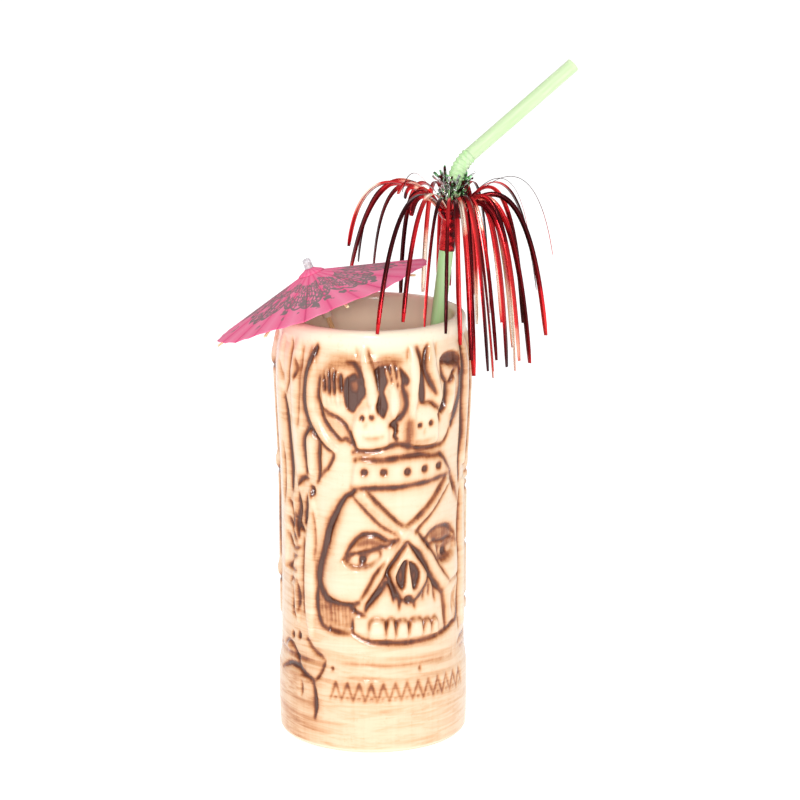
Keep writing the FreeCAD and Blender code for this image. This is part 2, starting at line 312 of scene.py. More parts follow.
class Wiring:
    """A node tree with short ways to add and join nodes."""

    def __init__(self, tree: Tree) -> None:
        """Takes the tree to be wired."""
        self.tree = tree

    def put(self, socket: Socket, value: object) -> None:
        """Joins a socket to another, or gives it a value.

        Args:
            socket: The socket to fill.
            value: A socket to join it to, or its value.
        """
        if isinstance(value, Socket):
            self.tree.links.new(value, socket)
        else:
            socket.default_value = value

    def add(self, kind: str, settings: dict[str, object] | None = None, **inputs: object) -> Node:
        """Adds a node.

        Args:
            kind: The node's type.
            settings: The node's own settings.
            **inputs: Its inputs, by name, with _ for a space, or by place as i0, i1.

        Returns:
            The node.
        """
        node = self.tree.nodes.new(kind)
        for name, value in (settings or {}).items():
            setattr(node, name, value)
        for name, value in inputs.items():
            by_place = name[0] == "i" and name[1:].isdigit()
            self.put(node.inputs[int(name[1:]) if by_place else name.replace("_", " ")], value)
        return node

    def sum(
        self, operation: str, first: object, second: object = 0.0, third: object = 0.0
    ) -> Socket:
        """A Math node's result.

        Args:
            operation: Which sum to do.
            first: The first number or socket.
            second: The second one.
            third: The third one.

        Returns:
            The result's socket.
        """
        return self.add("ShaderNodeMath", {"operation": operation}, i0=first, i1=second, i2=third).outputs[0]

    def times(self, first: object, *others: object) -> Socket:
        """The product of a number and others."""
        for other in others:
            first = self.sum("MULTIPLY", first, other)
        return first

    def between(
        self, value: object, low: float, high: float, start: float = 0.0, end: float = 1.0
    ) -> Socket:
        """Maps a value softly from one range to another.

        Args:
            value: The value's socket.
            low: The value that gives the start.
            high: The value that gives the end.
            start: The result at low.
            end: The result at high.

        Returns:
            The result's socket.
        """
        node = self.add("ShaderNodeMapRange", {"interpolation_type": "SMOOTHSTEP"}, Value=value)
        for name, number in (("From Min", low), ("From Max", high), ("To Min", start), ("To Max", end)):
            node.inputs[name].default_value = number
        return node.outputs[0]

    def ramp(self, value: object, stops: Stops) -> Socket:
        """A colour that changes with a value.

        Args:
            value: The value's socket.
            stops: Each stop's place and colour.

        Returns:
            The colour's socket.
        """
        node = self.add("ShaderNodeValToRGB", Fac=value)
        elements = node.color_ramp.elements
        while len(elements) < len(stops):
            elements.new(0.5)
        for element, (place, colour) in zip(elements, stops):
            element.position = place
            element.color = colour
        return node.outputs["Color"]

    def mix(self, share: object, first: object, second: object) -> Socket:
        """Two colours mixed.

        Args:
            share: How much of the second colour.
            first: The first colour.
            second: The second colour.

        Returns:
            The colour's socket.
        """
        node = self.add("ShaderNodeMix", {"data_type": "RGBA", "blend_type": "MIX"})
        self.put(node.inputs[0], share)
        self.put(node.inputs[6], first)
        self.put(node.inputs[7], second)
        return node.outputs[2]

    def number(self, name: str) -> Socket:
        """The number that mark() wrote on the piece under this name."""
        return self.add("ShaderNodeAttribute", {"attribute_name": name}).outputs["Fac"]

    def place(self) -> Socket:
        """The place on the object, in metres."""
        return self.add("ShaderNodeTexCoord").outputs["Object"]


class Effects:
    """Surface effects that several finishes share, each one a node group built once."""

    @staticmethod
    def group(name: str, vectors: Sequence[str], numbers: Sequence[str]) -> Group:
        """Opens a node group that gives a mask and a height.

        Args:
            name: The group's name.
            vectors: The names of the vectors that it takes.
            numbers: The names of the numbers that it takes.

        Returns:
            Its wiring, its input node and its output node.
        """
        tree = bpy.data.node_groups.new(name, "ShaderNodeTree")
        for label in vectors:
            tree.interface.new_socket(name=label, in_out="INPUT", socket_type="NodeSocketVector")
        for label in numbers:
            tree.interface.new_socket(name=label, in_out="INPUT", socket_type="NodeSocketFloat")
        for label in ("Mask", "Height"):
            tree.interface.new_socket(name=label, in_out="OUTPUT", socket_type="NodeSocketFloat")
        wiring = Wiring(tree)
        return wiring, wiring.add("NodeGroupInput"), wiring.add("NodeGroupOutput")

    @cached_property
    def fleck(self) -> Tree:
        """Fine specks of two sizes: where they lie, and how high they stand."""
        wiring, given, result = self.group("fleck", ("Vector",), ("Scale", "Amount"))
        place, scale = given.outputs["Vector"], given.outputs["Scale"]
        fine = wiring.add("ShaderNodeTexNoise", Vector=place, Scale=scale, Detail=4.0, Roughness=0.6)
        coarse = wiring.add("ShaderNodeTexNoise", Vector=place, Scale=wiring.times(scale, 0.23), Detail=3.0)
        both = wiring.sum("MULTIPLY_ADD", fine.outputs["Fac"], 0.6, wiring.times(coarse.outputs["Fac"], 0.4))
        wiring.put(result.inputs["Height"], both)
        specks = wiring.between(both, 0.56, 0.66)
        wiring.put(result.inputs["Mask"], wiring.times(specks, given.outputs["Amount"]))
        return wiring.tree

    @cached_property
    def grain(self) -> Tree:
        """Long fibres that run along an axis: light and dark wood, or drawn plastic."""
        wiring, given, result = self.group("grain", ("Vector", "Axis"), ("Scale", "Contrast"))
        place, axis, scale = (given.outputs[name] for name in ("Vector", "Axis", "Scale"))
        dot = wiring.add("ShaderNodeVectorMath", {"operation": "DOT_PRODUCT"}, i0=place, i1=axis)
        run = wiring.add("ShaderNodeVectorMath", {"operation": "SCALE"}, i0=axis)
        wiring.put(run.inputs["Scale"], wiring.times(dot.outputs["Value"], 0.93))
        drawn = wiring.add("ShaderNodeVectorMath", {"operation": "SUBTRACT"}, i0=place, i1=run.outputs[0])
        drawn = drawn.outputs[0]
        fibres = wiring.add("ShaderNodeTexNoise", Vector=drawn, Scale=scale, Detail=6.0, Roughness=0.65)
        figure = wiring.add(
            "ShaderNodeTexNoise", Vector=drawn, Scale=wiring.times(scale, 0.3), Detail=2.0, Distortion=0.6
        )
        coarse = wiring.times(figure.outputs["Fac"], 0.35)
        both = wiring.sum("MULTIPLY_ADD", fibres.outputs["Fac"], 0.65, coarse)
        sharp = wiring.times(given.outputs["Contrast"], 4.0)
        wiring.put(
            result.inputs["Mask"], wiring.sum("MULTIPLY_ADD", wiring.sum("SUBTRACT", both, 0.5), sharp, 0.5)
        )
        wiring.put(result.inputs["Height"], both)
        return wiring.tree

    @cached_property
    def crinkle(self) -> Tree:
        """Flat facets with sharp folds between them, as in crushed foil or handled paper."""
        wiring, given, result = self.group("crinkle", ("Vector",), ("Scale",))
        where = {name: given.outputs[name] for name in ("Vector", "Scale")}
        facets = wiring.add("ShaderNodeTexVoronoi", {"feature": "F1", "distance": "EUCLIDEAN"}, **where)
        edges = wiring.add("ShaderNodeTexVoronoi", {"feature": "DISTANCE_TO_EDGE"}, **where)
        tone = wiring.add("ShaderNodeSeparateColor", Color=facets.outputs["Color"]).outputs[0]
        wiring.put(result.inputs["Mask"], tone)
        fold = wiring.between(edges.outputs["Distance"], 0.0, 0.12)
        wiring.put(result.inputs["Height"], wiring.sum("MULTIPLY_ADD", tone, 0.5, wiring.times(fold, 0.5)))
        return wiring.tree


EFFECTS = Effects()


@dataclass(frozen=True)
class Finish:
    """What every finish has: a name, its gloss, and the way that its shader is started."""

    name: str
    roughness: float = 0.4

    def start(self) -> tuple[Material, Wiring, Node]:
        """Opens the material with an empty shader.

        Returns:
            The material, its wiring and its shader node.
        """
        material = bpy.data.materials.new(self.name)
        material.use_nodes = True
        material.node_tree.nodes.clear()
        wiring = Wiring(material.node_tree)
        shader = wiring.add("ShaderNodeBsdfPrincipled")
        result = wiring.add("ShaderNodeOutputMaterial")
        wiring.tree.links.new(shader.outputs["BSDF"], result.inputs["Surface"])
        shader.inputs["Roughness"].default_value = self.roughness
        return material, wiring, shader

    @staticmethod
    def effect(wiring: Wiring, tree: Tree, **inputs: object) -> Node:
        """Places a shared effect in a material.

        Args:
            wiring: The material's wiring.
            tree: The effect's node group.
            **inputs: The effect's inputs.

        Returns:
            The effect's node.
        """
        node = wiring.add("ShaderNodeGroup", {"node_tree": tree})
        for name, value in inputs.items():
            wiring.put(node.inputs[name], value)
        return node

    @staticmethod
    def dull(wiring: Wiring, shader: Node, mottle_and_sheen: object, spread: float, base: object) -> None:
        """Makes the gloss uneven.

        Args:
            wiring: The material's wiring.
            shader: The shader that takes the roughness.
            mottle_and_sheen: The unevenness's socket.
            spread: How much of it is added.
            base: The roughness without it.
        """
        wiring.put(shader.inputs["Roughness"], wiring.sum("MULTIPLY_ADD", mottle_and_sheen, spread, base))

    @staticmethod
    def emboss(wiring: Wiring, shader: Node, height: object, depth: float, strength: float) -> None:
        """Gives the surface fine relief.

        Args:
            wiring: The material's wiring.
            shader: The shader that takes the normal.
            height: The relief's socket.
            depth: How high the relief stands, in metres.
            strength: How much of it shows.
        """
        bump = wiring.add("ShaderNodeBump", Height=height, Distance=depth, Strength=strength)
        wiring.put(shader.inputs["Normal"], bump.outputs[0])


@dataclass(frozen=True)
class StainedGlaze(Finish):
    """Cream glaze over brown stain that has been wiped off the high ground and left in the cuts."""

    roughness: float = 0.16
    bare: Colour = srgb(226, 206, 182)
    # The lining is drawn paler than the unstained outer glaze: painted light that makes up for the shade
    # inside the mug.
    inside: Colour = srgb(255, 234, 206)
    ramp: Stops = (
        (0.0, srgb(238, 220, 196)),
        (0.12, srgb(235, 206, 174)),
        (0.26, srgb(225, 184, 145)),
        (0.42, srgb(203, 144, 97)),
        (0.57, srgb(152, 86, 46)),
        (0.72, srgb(106, 53, 27)),
        (0.90, srgb(78, 38, 22)),
        # The last stop is greyer and lighter than the one before: partly the thickest stain's own colour,
        # partly painted sheen on it.
        (1.0, srgb(88, 54, 42)),
    )

    def material(self) -> Material:
        """Builds the glaze.

        Returns:
            The material.
        """
        material, wiring, shader = self.start()
        place = wiring.place()
        fleck = self.effect(wiring, EFFECTS.fleck, Vector=place, Scale=900.0, Amount=1.0)
        upward = (0.0, 0.0, 1.0)
        brushed = self.effect(wiring, EFFECTS.grain, Vector=place, Axis=upward, Scale=420.0, Contrast=0.8)
        swept = wiring.add("ShaderNodeMapping", Vector=place, Scale=(0.16, 0.16, 1.3))
        cloud = wiring.add(
            "ShaderNodeTexNoise",
            Vector=swept.outputs[0],
            Scale=260.0,
            Detail=5.0,
            Roughness=0.62,
            Distortion=0.5,
        )
        stain = wiring.number("stain")
        streak = wiring.sum("SUBTRACT", brushed.outputs["Mask"], 0.5)
        weight = wiring.sum("MULTIPLY_ADD", stain, 0.34, 0.015)
        wiped = wiring.sum("MULTIPLY_ADD", streak, weight, stain)
        brush = wiring.between(cloud.outputs["Fac"], 0.38, 0.70)
        clouded = wiring.sum("MULTIPLY_ADD", brush, wiring.number("wash"), wiped)
        specked = wiring.sum("MULTIPLY_ADD", fleck.outputs["Mask"], 0.05, clouded)
        colour = wiring.ramp(specked, self.ramp)
        # Painted light: the lining is mixed in with its paler cream, against the shade inside the mug.
        lined = wiring.mix(wiring.number("inside"), colour, self.inside)
        footed = wiring.mix(wiring.number("bare"), lined, self.bare)
        wiring.put(shader.inputs["Base Color"], footed)
        gloss = wiring.between(wiring.number("bare"), 0.0, 1.0, self.roughness, 0.85)
        self.dull(wiring, shader, fleck.outputs["Height"], 0.10, gloss)
        shader.inputs["Coat Weight"].default_value = 0.12
        shader.inputs["Coat Roughness"].default_value = 0.06
        shader.inputs["IOR"].default_value = 1.5
        self.emboss(wiring, shader, fleck.outputs["Height"], 0.00012, 0.55)
        return material


@dataclass(frozen=True)
class PaleWood(Finish):
    """Split birch or bamboo with its fibres along the stick."""

    roughness: float = 0.62
    light: Colour = srgb(240, 208, 158)
    dark: Colour = srgb(196, 148, 92)
    axis: Triple = (0.0, 0.0, 1.0)

    def material(self) -> Material:
        """Builds the wood.

        Returns:
            The material.
        """
        material, wiring, shader = self.start()
        place = wiring.place()
        grain = self.effect(wiring, EFFECTS.grain, Vector=place, Axis=self.axis, Scale=2600.0, Contrast=0.9)
        fleck = self.effect(wiring, EFFECTS.fleck, Vector=place, Scale=1500.0, Amount=0.5)
        colour = wiring.ramp(grain.outputs["Mask"], ((0.15, self.dark), (0.75, self.light)))
        wiring.put(shader.inputs["Base Color"], wiring.mix(fleck.outputs["Mask"], colour, self.dark))
        self.dull(wiring, shader, grain.outputs["Height"], 0.25, self.roughness - 0.12)
        self.emboss(wiring, shader, grain.outputs["Height"], 0.0001, 0.6)
        return material


@dataclass(frozen=True)
class StrawPlastic(Finish):
    """Thin see-through tube, drawn lengthwise, with faint handling marks."""

    roughness: float = 0.22
    tint: Colour = srgb(234, 255, 214)
    deep: Colour = srgb(204, 255, 178)
    through: float = 0.30
    axis: Triple = (0.0, 0.0, 1.0)

    def material(self) -> Material:
        """Builds the plastic.

        Returns:
            The material.
        """
        material, wiring, shader = self.start()
        place = wiring.place()
        drawn = self.effect(wiring, EFFECTS.grain, Vector=place, Axis=self.axis, Scale=900.0, Contrast=0.7)
        fleck = self.effect(wiring, EFFECTS.fleck, Vector=place, Scale=2400.0, Amount=0.2)
        colour = wiring.ramp(drawn.outputs["Mask"], ((0.2, self.deep), (0.8, self.tint)))
        wiring.put(shader.inputs["Base Color"], colour)
        self.dull(wiring, shader, fleck.outputs["Mask"], 0.25, self.roughness)
        shader.inputs["Transmission Weight"].default_value = self.through
        shader.inputs["IOR"].default_value = 1.38
        self.emboss(wiring, shader, drawn.outputs["Height"], 0.00003, 0.25)
        return material


@dataclass(frozen=True)
class Foil(Finish):
    """Metal-coated film. The mark named tone on a piece is painted reflection: how dark or bright each
    stretch of the foil is drawn, as if it mirrored dark or bright surroundings.
    """

    roughness: float = 0.2
    crush: float = 500.0
    depth: float = 0.0002
    mottle_and_sheen: float = 0.22
    # The stops are painted reflection: dark maroon for mirrored dark surroundings, then red, then pale peach
    # and near-white painted highlights.
    stops: Stops = (
        (0.0, srgb(62, 6, 12)),
        (0.27, srgb(124, 10, 18)),
        (0.33, srgb(192, 26, 34)),
        (0.78, srgb(226, 56, 56)),
        (0.85, srgb(252, 164, 140)),
        (1.0, srgb(255, 232, 212)),
    )

    def material(self) -> Material:
        """Builds the foil.

        Returns:
            The material.
        """
        material, wiring, shader = self.start()
        place = wiring.place()
        crinkle = self.effect(wiring, EFFECTS.crinkle, Vector=place, Scale=self.crush)
        fleck = self.effect(wiring, EFFECTS.fleck, Vector=place, Scale=1400.0, Amount=0.4)
        # Each crushed facet shifts the painted reflection a little, as if tilted towards brighter or darker
        # surroundings.
        facet = wiring.sum("SUBTRACT", crinkle.outputs["Mask"], 0.5)
        tone = wiring.sum("MULTIPLY_ADD", facet, self.mottle_and_sheen, wiring.number("tone"))
        wiring.put(shader.inputs["Base Color"], wiring.ramp(tone, self.stops))
        self.dull(wiring, shader, fleck.outputs["Mask"], 0.2, self.roughness)
        shader.inputs["Metallic"].default_value = 0.85
        self.emboss(wiring, shader, crinkle.outputs["Height"], self.depth, 0.6)
        return material


@dataclass(frozen=True)
class PrintedPaper(Finish):
    """Pink tissue paper with a lacy ring of flowers printed on its outer face."""

    roughness: float = 0.72
    paper: Colour = srgb(244, 86, 140)
    # A paler pink, used for the painted highlight on the pleat ridges and for the paper's fine flecks.
    highlight_and_fleck: Colour = srgb(252, 150, 182)
    # A deeper pink for painted shade in the pleat valleys.
    crease_shade: Colour = srgb(226, 48, 118)
    ink: Colour = srgb(98, 112, 106)
    petals: float = 1.0
    ripples: float = 5.0
    veins: float = 30.0

    def material(self) -> Material:
        """Builds the paper.

        Returns:
            The material.
        """
        material, wiring, shader = self.start()
        place = wiring.place()
        reach, turn = wiring.number("reach"), wiring.number("turn")
        crinkle = self.effect(wiring, EFFECTS.crinkle, Vector=place, Scale=260.0)
        fleck = self.effect(wiring, EFFECTS.fleck, Vector=place, Scale=1100.0, Amount=0.35)
        wave, ripple = (
            wiring.sum("ABSOLUTE", wiring.sum("SINE", wiring.times(turn, math.pi * petals)))
            for petals in (self.petals, self.ripples)
        )
        rim = wiring.sum("MULTIPLY_ADD", wave, 0.14, wiring.sum("MULTIPLY_ADD", ripple, 0.04, 0.56))
        heart = wiring.sum("MULTIPLY_ADD", wave, 0.10, 0.20)
        ring_of_flowers = wiring.times(
            wiring.sum("LESS_THAN", reach, rim), wiring.sum("GREATER_THAN", reach, heart)
        )
        spread = wiring.add("ShaderNodeCombineXYZ", X=wiring.times(turn, 0.9), Y=reach).outputs[0]
        lace = wiring.add("ShaderNodeTexVoronoi", {"feature": "DISTANCE_TO_EDGE"}, Vector=spread, Scale=15.0)
        leafy = wiring.add("ShaderNodeTexNoise", Vector=spread, Scale=6.0, Detail=2.0).outputs["Fac"]
        net = wiring.between(lace.outputs["Distance"], 0.20, 0.06)
        veins = wiring.between(wiring.sum("SINE", wiring.times(turn, math.pi * self.veins)), -0.2, 0.5)
        body = wiring.sum("MAXIMUM", net, wiring.times(veins, 0.75))
        inked = wiring.times(ring_of_flowers, wiring.between(leafy, 0.34, 0.42), body)
        edge = wiring.between(wiring.sum("ABSOLUTE", wiring.sum("SUBTRACT", reach, rim)), 0.022, 0.008)
        band = wiring.times(wiring.between(reach, 0.62, 0.7), wiring.between(reach, 0.9, 0.8))
        leaves = wiring.times(wiring.between(leafy, 0.60, 0.64), band)
        drawn = wiring.sum("MAXIMUM", wiring.sum("MAXIMUM", inked, edge), leaves)
        printed = wiring.times(drawn, 0.86, wiring.number("face"))
        # Painted highlight: the paper is drawn paler on the pleat ridges, and a little paler towards the rim.
        light = wiring.sum("MULTIPLY_ADD", wiring.number("pleat"), 0.55, wiring.times(reach, 0.18))
        tissue = wiring.mix(light, self.paper, self.highlight_and_fleck)
        # Painted shade: a deeper pink where the pleats fold in.
        crease_shaded = wiring.mix(wiring.between(wiring.number("pleat"), 0.16, 0.0, 0.0, 0.6), tissue, self.crease_shade)
        mottled = wiring.mix(fleck.outputs["Mask"], crease_shaded, self.highlight_and_fleck)
        wiring.put(shader.inputs["Base Color"], wiring.mix(printed, mottled, self.ink))
        self.dull(wiring, shader, fleck.outputs["Height"], 0.2, self.roughness - 0.1)
        self.emboss(wiring, shader, crinkle.outputs["Height"], 0.0002, 0.35)
        return material


@dataclass(frozen=True)
class Plain(Finish):
    """A plain moulded or rolled material with fine mottling."""

    colour: Colour = srgb(240, 240, 236)
    shade: Colour = srgb(214, 212, 204)
    through: float = 0.0
    scale: float = 900.0
    depth: float = 0.0001

    def material(self) -> Material:
        """Builds the material.

        Returns:
            The material.
        """
        material, wiring, shader = self.start()
        place = wiring.place()
        fleck = self.effect(wiring, EFFECTS.fleck, Vector=place, Scale=self.scale, Amount=0.8)
        wiring.put(shader.inputs["Base Color"], wiring.mix(fleck.outputs["Mask"], self.colour, self.shade))
        self.dull(wiring, shader, fleck.outputs["Height"], 0.2, self.roughness - 0.1)
        shader.inputs["Transmission Weight"].default_value = self.through
        self.emboss(wiring, shader, fleck.outputs["Height"], self.depth, 0.5)
        return material


# ---------------------------------------------------------------- the mug


@dataclass
class Relief:
    """Height and stain of the carved wall, over a grid of azimuth in degrees and height in millimetres."""

    azimuth: np.ndarray
    height: np.ndarray
    arc: float = 0.628
    shift: float = 0.0
    way: float = 1.0

    def __post_init__(self) -> None:
        """Starts with a bare wall."""
        self.rise = np.zeros((len(self.height), len(self.azimuth)))
        self.stain = np.zeros_like(self.rise)
        self.wash = np.zeros_like(self.rise)

    def at(self, shift: float, way: float = 1.0) -> None:
        """Says where the next marks go.

        Args:
            shift: Degrees added to their azimuth.
            way: -1 to mirror them first.
        """
        self.shift, self.way = shift, way

    def _stain(self, index: Index, amount: np.ndarray) -> None:
        """Darkens a part of the grid to an amount, where it is not darker already."""
        self.stain[index] = np.maximum(self.stain[index], amount)

    def _path(self, points: Sequence[Pair], soft: bool) -> np.ndarray:
        """The marks' points in millimetres round and up the wall.

        Args:
            points: Azimuth and height pairs.
            soft: Whether a smooth line is run through them.

        Returns:
            The line in millimetres.
        """
        placed = np.array(points, float)
        placed[:, 0] = placed[:, 0] * self.way + self.shift
        middle = placed[:, 0].mean()
        placed[:, 0] -= 360.0 * math.floor((middle - self.azimuth[0]) / 360.0)
        path = flowing(placed, 4) if soft else placed
        return path * np.array([self.arc, 1.0])

    def _window(self, path: np.ndarray, margin: float) -> tuple[Index, np.ndarray, np.ndarray]:
        """The part of the grid near a line.

        Args:
            path: The line.
            margin: How far from it to look.

        Returns:
            The grid's index, and the places round and up the wall there.
        """
        across = self.azimuth * self.arc
        low, high = path.min(axis=0) - margin, path.max(axis=0) + margin
        columns = np.flatnonzero((across >= low[0]) & (across <= high[0]))
        rows = np.flatnonzero((self.height >= low[1]) & (self.height <= high[1]))
        around, up = np.meshgrid(across[columns], self.height[rows])
        return np.ix_(rows, columns), around, up

    def _distance(
        self, path: np.ndarray, margin: float, tapered: bool
    ) -> tuple[Index, np.ndarray, np.ndarray]:
        """How far the grid is from a line, with the line's width there.

        Args:
            path: The line.
            margin: How far from it to look.
            tapered: Whether the line thins at its ends.

        Returns:
            The grid's index, the distances and the width's share.
        """
        index, around, up = self._window(path, margin)
        nearest = np.full(around.shape, 1e9)
        width = np.ones(around.shape)
        steps = np.linalg.norm(np.diff(path, axis=0), axis=1)
        gone = np.concatenate([[0.0], np.cumsum(steps)]) / max(steps.sum(), 1e-6)
        for number, (start, end) in enumerate(zip(path[:-1], path[1:])):
            run = end - start
            share = ((around - start[0]) * run[0] + (up - start[1]) * run[1]) / max(run @ run, 1e-9)
            share = np.clip(share, 0.0, 1.0)
            away = np.hypot(around - start[0] - share * run[0], up - start[1] - share * run[1])
            closer = away < nearest
            nearest[closer] = away[closer]
            if tapered:
                along = gone[number] + share * (gone[number + 1] - gone[number])
                width[closer] = np.minimum(1.0, 0.42 + 2.6 * np.minimum(along, 1.0 - along))[closer]
        return index, nearest, width

    def cut(self, width: float, stain: float, *points: Pair, depth: float = 0.9, soft: bool = True) -> None:
        """Cuts a groove and fills it with stain.

        Args:
            width: The groove's width in millimetres.
            stain: How dark it is, 0 to 1.
            *points: The azimuth and height pairs that it runs through.
            depth: How deep it is in millimetres.
            soft: Whether it runs smoothly.
        """
        path = self._path(points, soft)
        index, away, share = self._distance(path, width * 2.2 + 2.4, True)
        reach = width * share
        core = stain * (1.0 - smooth(0.22, 0.62, away / reach))
        halo = 0.46 * stain * np.exp(-((away / (reach * 0.9 + 0.55)) ** 2))
        self._stain(index, np.maximum(core, halo))
        self.rise[index] -= depth * share * np.exp(-((away / (0.52 * reach + 0.15)) ** 2))

    def limb(self, width: float, height: float, *points: Pair) -> None:
        """Raises a rounded ridge.

        Args:
            width: Its width in millimetres.
            height: How far it stands out.
            *points: The azimuth and height pairs that it runs through.
        """
        path = self._path(points, True)
        index, away, share = self._distance(path, width + 1.0, True)
        dome = np.sqrt(np.clip(1.0 - (away / (0.5 * width * share)) ** 2, 0.0, 1.0))
        self.rise[index] = np.maximum(self.rise[index], height * dome)
        clean = dome > 0.35
        self.stain[index] = np.where(clean, self.stain[index] * 0.25, self.stain[index])

    def _inside(self, points: Sequence[Pair], margin: float, soft: bool) -> tuple[Index, np.ndarray]:
        """How far inside an outline the grid is, below 0 outside it.

        Args:
            points: The outline.
            margin: How far outside to look.
            soft: Whether the outline is rounded.

        Returns:
            The grid's index and the distances.
        """
        path = self._path([*points, points[0]], soft)
        index, away, _ = self._distance(path, margin, False)
        _, around, up = self._window(path, margin)
        within = np.zeros(around.shape, bool)
        for start, end in zip(path[:-1], path[1:]):
            crosses = (start[1] > up) != (end[1] > up)
            rise = end[1] - start[1]
            where = start[0] + (up - start[1]) * (end[0] - start[0]) / (rise if abs(rise) > 1e-9 else 1e-9)
            within ^= crosses & (around < where)
        return index, np.where(within, away, -away)

    def pit(self, depth: float, stain: float, *points: Pair, edge: float = 0.7, soft: bool = True) -> None:
        """Sinks the ground inside an outline and stains it.

        Args:
            depth: How deep it is in millimetres, or below 0 to raise it.
            stain: How dark it is.
            *points: The outline's azimuth and height pairs.
            edge: How wide its wall is in millimetres.
            soft: Whether the outline is rounded.
        """
        index, inside = self._inside(points, edge + 1.5, soft)
        share = smooth(-edge, edge, inside)
        self.rise[index] -= depth * share
        self._stain(index, stain * share)

    def clean(self, amount: float, *points: Pair) -> None:
        """Wipes stain off inside an outline.

        Args:
            amount: How much of it goes, 0 to 1.
            *points: The outline's azimuth and height pairs.
        """
        index, inside = self._inside(points, 2.0, True)
        self.stain[index] *= 1.0 - amount * smooth(-0.4, 0.6, inside)

    def shade(self, width: float, stain: float, *points: Pair) -> None:
        """Brushes a soft band of thin stain.

        Args:
            width: The band's width in millimetres.
            stain: How dark it is.
            *points: The azimuth and height pairs that it runs through.
        """
        path = self._path(points, True)
        index, away, _ = self._distance(path, width * 1.6, False)
        self._stain(index, stain * np.exp(-((away / (0.6 * width)) ** 2)))

    def mound(self, azimuth: float, height: float, wide: float, tall: float, rise: float) -> None:
        """Raises a smooth mound.

        Args:
            azimuth: Its centre's azimuth.
            height: Its centre's height.
            wide: Half its width in degrees.
            tall: Half its height in millimetres.
            rise: How far it stands out, or below 0 to sink it.
        """
        centre = self._path([(azimuth, height)], False)[0]
        across = (self.azimuth * self.arc - centre[0]) / (wide * self.arc)
        up = (self.height - centre[1]) / tall
        self.rise += rise * np.exp(-(across[None, :] ** 2 + up[:, None] ** 2))

    def dot(self, azimuth: float, height: float, radius: float, stain: float, stud: bool = False) -> None:
        """Presses a round hole, or a stud in a ring.

        Args:
            azimuth: Its azimuth.
            height: Its height.
            radius: Its radius in millimetres.
            stain: How dark it is.
            stud: Whether its middle stands up again.
        """
        centre = self._path([(azimuth, height)], False)
        index, around, up = self._window(centre, radius * 2.6)
        away = np.hypot(around - centre[0, 0], up - centre[0, 1]) / radius
        core = 1.0 - smooth(0.75, 1.15, away)
        self.rise[index] -= 0.8 * core
        self._stain(index, np.maximum(stain * core, 0.35 * stain * np.exp(-(away**2) / 2.2)))
        if stud:
            middle = 1.0 - smooth(0.2, 0.55, away)
            self.rise[index] += 0.7 * middle
            self.stain[index] *= 1.0 - 0.6 * middle


